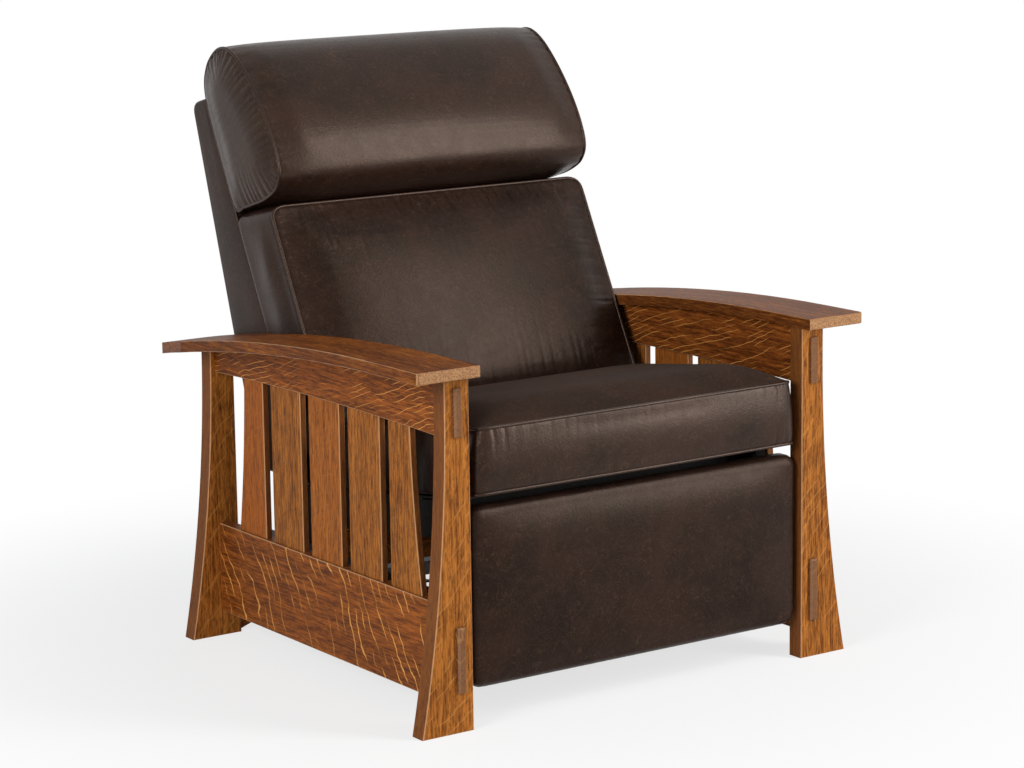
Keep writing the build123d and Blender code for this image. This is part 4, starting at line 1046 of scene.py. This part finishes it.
def head_ring(x, shrink, swell_share):
    """The headrest's section at x: shrunk to its middle, and swollen forward by a share."""
    grown = (head_section - HEAD_MIDDLE) * (1 - shrink)
    grown[:, 1] *= 1 + swell_share * (grown[:, 1] > 0)
    grown[:, 0] *= 1 + 0.4 * swell_share
    rise, out = (HEAD_MIDDLE + grown).T
    return on_back(np.full(len(rise), x), rise, out)


def head_end(sign):
    """Rings of an end panel, from its pole to its seam. It stands out by the bulge times 1 less
    the sixth power of 1 less the shrink."""
    shrinks = np.linspace(0.97, END_SHRINK + 0.02, 22)
    return [head_ring(sign * (HEAD_HALF + END_BULGE * (1 - (1 - s) ** 6)), s, 0) for s in shrinks]


roll_over = [
    head_ring(HEAD_HALF * share, END_SHRINK * abs(share) ** 12, ROLL_SWELL * (1 - abs(share) ** 3))
    for share in np.linspace(-1, 1, 70)
]
headrest_rings = np.array(head_end(-1) + roll_over + head_end(1)[::-1])
headrest = skin("headrest_leather", headrest_rings, leather_roll)
head_seams = [head_ring(sign * HEAD_HALF, END_SHRINK, 0) for sign in (-1, 1)]
swell(headrest, 6, 6, head_seams, 60, off_board, calm=80)


# %% Headrest pleats and welts
def end_panels(points):
    """1 on the two end panels of the headrest and 0 on its roll."""
    return eased(np.abs(points[:, 0]) / MM, HEAD_HALF - 0.5, HEAD_HALF + 1.5)


def end_fronts(points):
    """1 on the front of the two end panels."""
    return end_panels(points) * eased(out_of_back(points), 20, 60)


def on_roll(points):
    """1 on the front of the headrest's roll."""
    return (1 - end_panels(points)) * eased(out_of_back(points), 30, 80)


for shift, seam in zip((0.3, 2.2), head_seams):
    pleat(headrest, seam, 3.2, 24, 15, end_fronts, shift)
    pleat(headrest, seam, 1.3, 18, 23, on_roll, shift + 1)
dress(headrest, "back", "headrest", "headrest_core")
for label, sign in (("left", -1), ("right", 1)):
    welt_path = head_ring(sign * (HEAD_HALF - 1.5), END_SHRINK + 0.01, 0)
    dress(piping(f"headrest_welt_{label}", welt_path, (sign, 0, 0), WELT_RADIUS), "back")

# %% [markdown]
# ## Footrest
#
# The footrest is a padded board. Its leather is pulled tight over rolled edges, with small folds
# where the corners were tucked in. Padding this thin hardly swells, so there is no simulation
# here: a low dome is part of the surface, and the rolled edges stay exact.

# %% Footrest
FOOT_HALF, FOOT_LOW, FOOT_HIGH = 329, 61, 354
FOOT_MIDDLE = (FOOT_LOW + FOOT_HIGH) / 2
BOARD_Y = -387
ROLL_START, FACE_DEPTH, FACE_RISE = 21, 36, 8
ROLL_INSET = 16


# %% Footrest surface
def foot_place(x, z, depth):
    """Upright pad, in mm: depth counts forward from the board, and its face is domed."""
    reach = FOOT_HIGH - FOOT_MIDDLE - ROLL_INSET
    dome = domed(x / (FOOT_HALF - ROLL_INSET), (z - FOOT_MIDDLE) / reach, (8, 5))
    forward = depth + FACE_RISE * (depth >= FACE_DEPTH) * dome
    return np.stack(np.broadcast_arrays(x, BOARD_Y - forward, z), -1) * MM


foot_outline = rounded_polygon(rectangle(FOOT_HALF, FOOT_LOW, FOOT_HIGH), 24, 320)
foot_levels = [(0.4, 7, t) for t in (0.97, 0.5, 0.02)]
foot_levels += [(0.4 + 10 * t, 7 * (1 - math.sin(QUARTER * t)), 0) for t in np.linspace(0, 1, 8)]
for angle in np.linspace(0, QUARTER * 0.8, 16):
    foot_levels.append((ROLL_START + 15 * math.sin(angle), ROLL_INSET * (1 - math.cos(angle)), 0))
foot_levels += [(FACE_DEPTH, 14, t) for t in np.linspace(0.01, 0.97, 40)]
footrest = skin("footrest_leather", carried(foot_outline, foot_levels, foot_place), leather_panel)
foot_seam = foot_place(foot_outline[:, 0], foot_outline[:, 1], ROLL_START + 1)


def lower_corners(points):
    """Near 1 at the two lower corners, by a bell curve upwards and an easing outwards, and 0.12
    along the other edges."""
    low = np.exp(-(((points[:, 2] / MM - 85) / 45) ** 2))
    side = eased(np.abs(points[:, 0]) / MM, 290, 325)
    return 0.12 + 0.9 * low * side


pleat(footrest, foot_seam, 2.0, 16, 17, lower_corners, 0.9)
dress(footrest, "footrest", "footrest_pad", "footrest_core")
print("footrest has", len(footrest.data.vertices), "points")

# %% [markdown]
# ## Upholstered back frame
#
# Boards with thin padding close the back's sides. Each is a rounded polygon with rolled edges, and
# a fine welt runs down its front edge. One panel is worked out, and the sign of x makes the other,
# so that both sides match. The outside back is a plain board with leather pulled tight, so the
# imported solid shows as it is.

# %% Side panels
SIDE_CORNERS = [(86.1, 300), (408.1, 932), (457.3, 920), (264.2, 300)]
SIDE_X = 289
SIDE_SEAM_X = 314.0
ROUND_IN, ROUND_OUT = 5, 6
SIDE_EDGE = 20


def side_place(y, z, depth):
    """Places a side panel's rings, in mm: the outline lies in y and z, and depth goes out in x."""
    return np.stack([SIDE_X + depth, y, z], -1)


side_outline = rounded_polygon(SIDE_CORNERS, (8, 8, 22, 8), 320)
side_levels = [(0, ROUND_IN, t) for t in (0.97, 0.6, 0.03)]
for angle in np.linspace(0, QUARTER, 6):
    side_levels.append((ROUND_IN * (1 - math.cos(angle)), ROUND_IN * (1 - math.sin(angle)), 0))
for angle in np.linspace(0, QUARTER, 8):
    rounding = ROUND_OUT * math.sin(angle)
    side_levels.append((SIDE_EDGE + rounding, ROUND_OUT * (1 - math.cos(angle)), 0))
for t in np.linspace(0.02, 0.97, 14):
    side_levels.append((SIDE_EDGE + ROUND_OUT + 1.5 * (1 - (1 - t) ** 3), ROUND_OUT, t))
flat_rings = carried(side_outline, side_levels, side_place)
seam_rise = np.linspace(-46, 656, 120)
for label, sign in (("left", -1), ("right", 1)):
    panel_rings = flat_rings * (sign, 1, 1) * MM
    panel = skin(f"back_side_leather_{label}", panel_rings, leather_panel)
    dress(panel, "back", f"back_side_panel_{label}")
    seam_line = on_back(sign * SIDE_SEAM_X, seam_rise, -1.0)
    welt = piping(f"back_side_welt_{label}", seam_line, (sign, 0, 0), FINE_WELT_RADIUS, loop=False)
    dress(welt, "back")
print("side panels have", len(panel.data.vertices), "points each")

# %% [markdown]
# ## Finish
#
# The last cell writes how large the chair is before and after dressing.

# %% Sizes and finish
shown_low, shown_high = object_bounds()
grown_low = [round((a - b) / MM, 1) for a, b in zip(cad_low, shown_low)]
grown_high = [round((b - a) / MM, 1) for a, b in zip(cad_high, shown_high)]
print("grown by, in mm:", grown_low, grown_high)
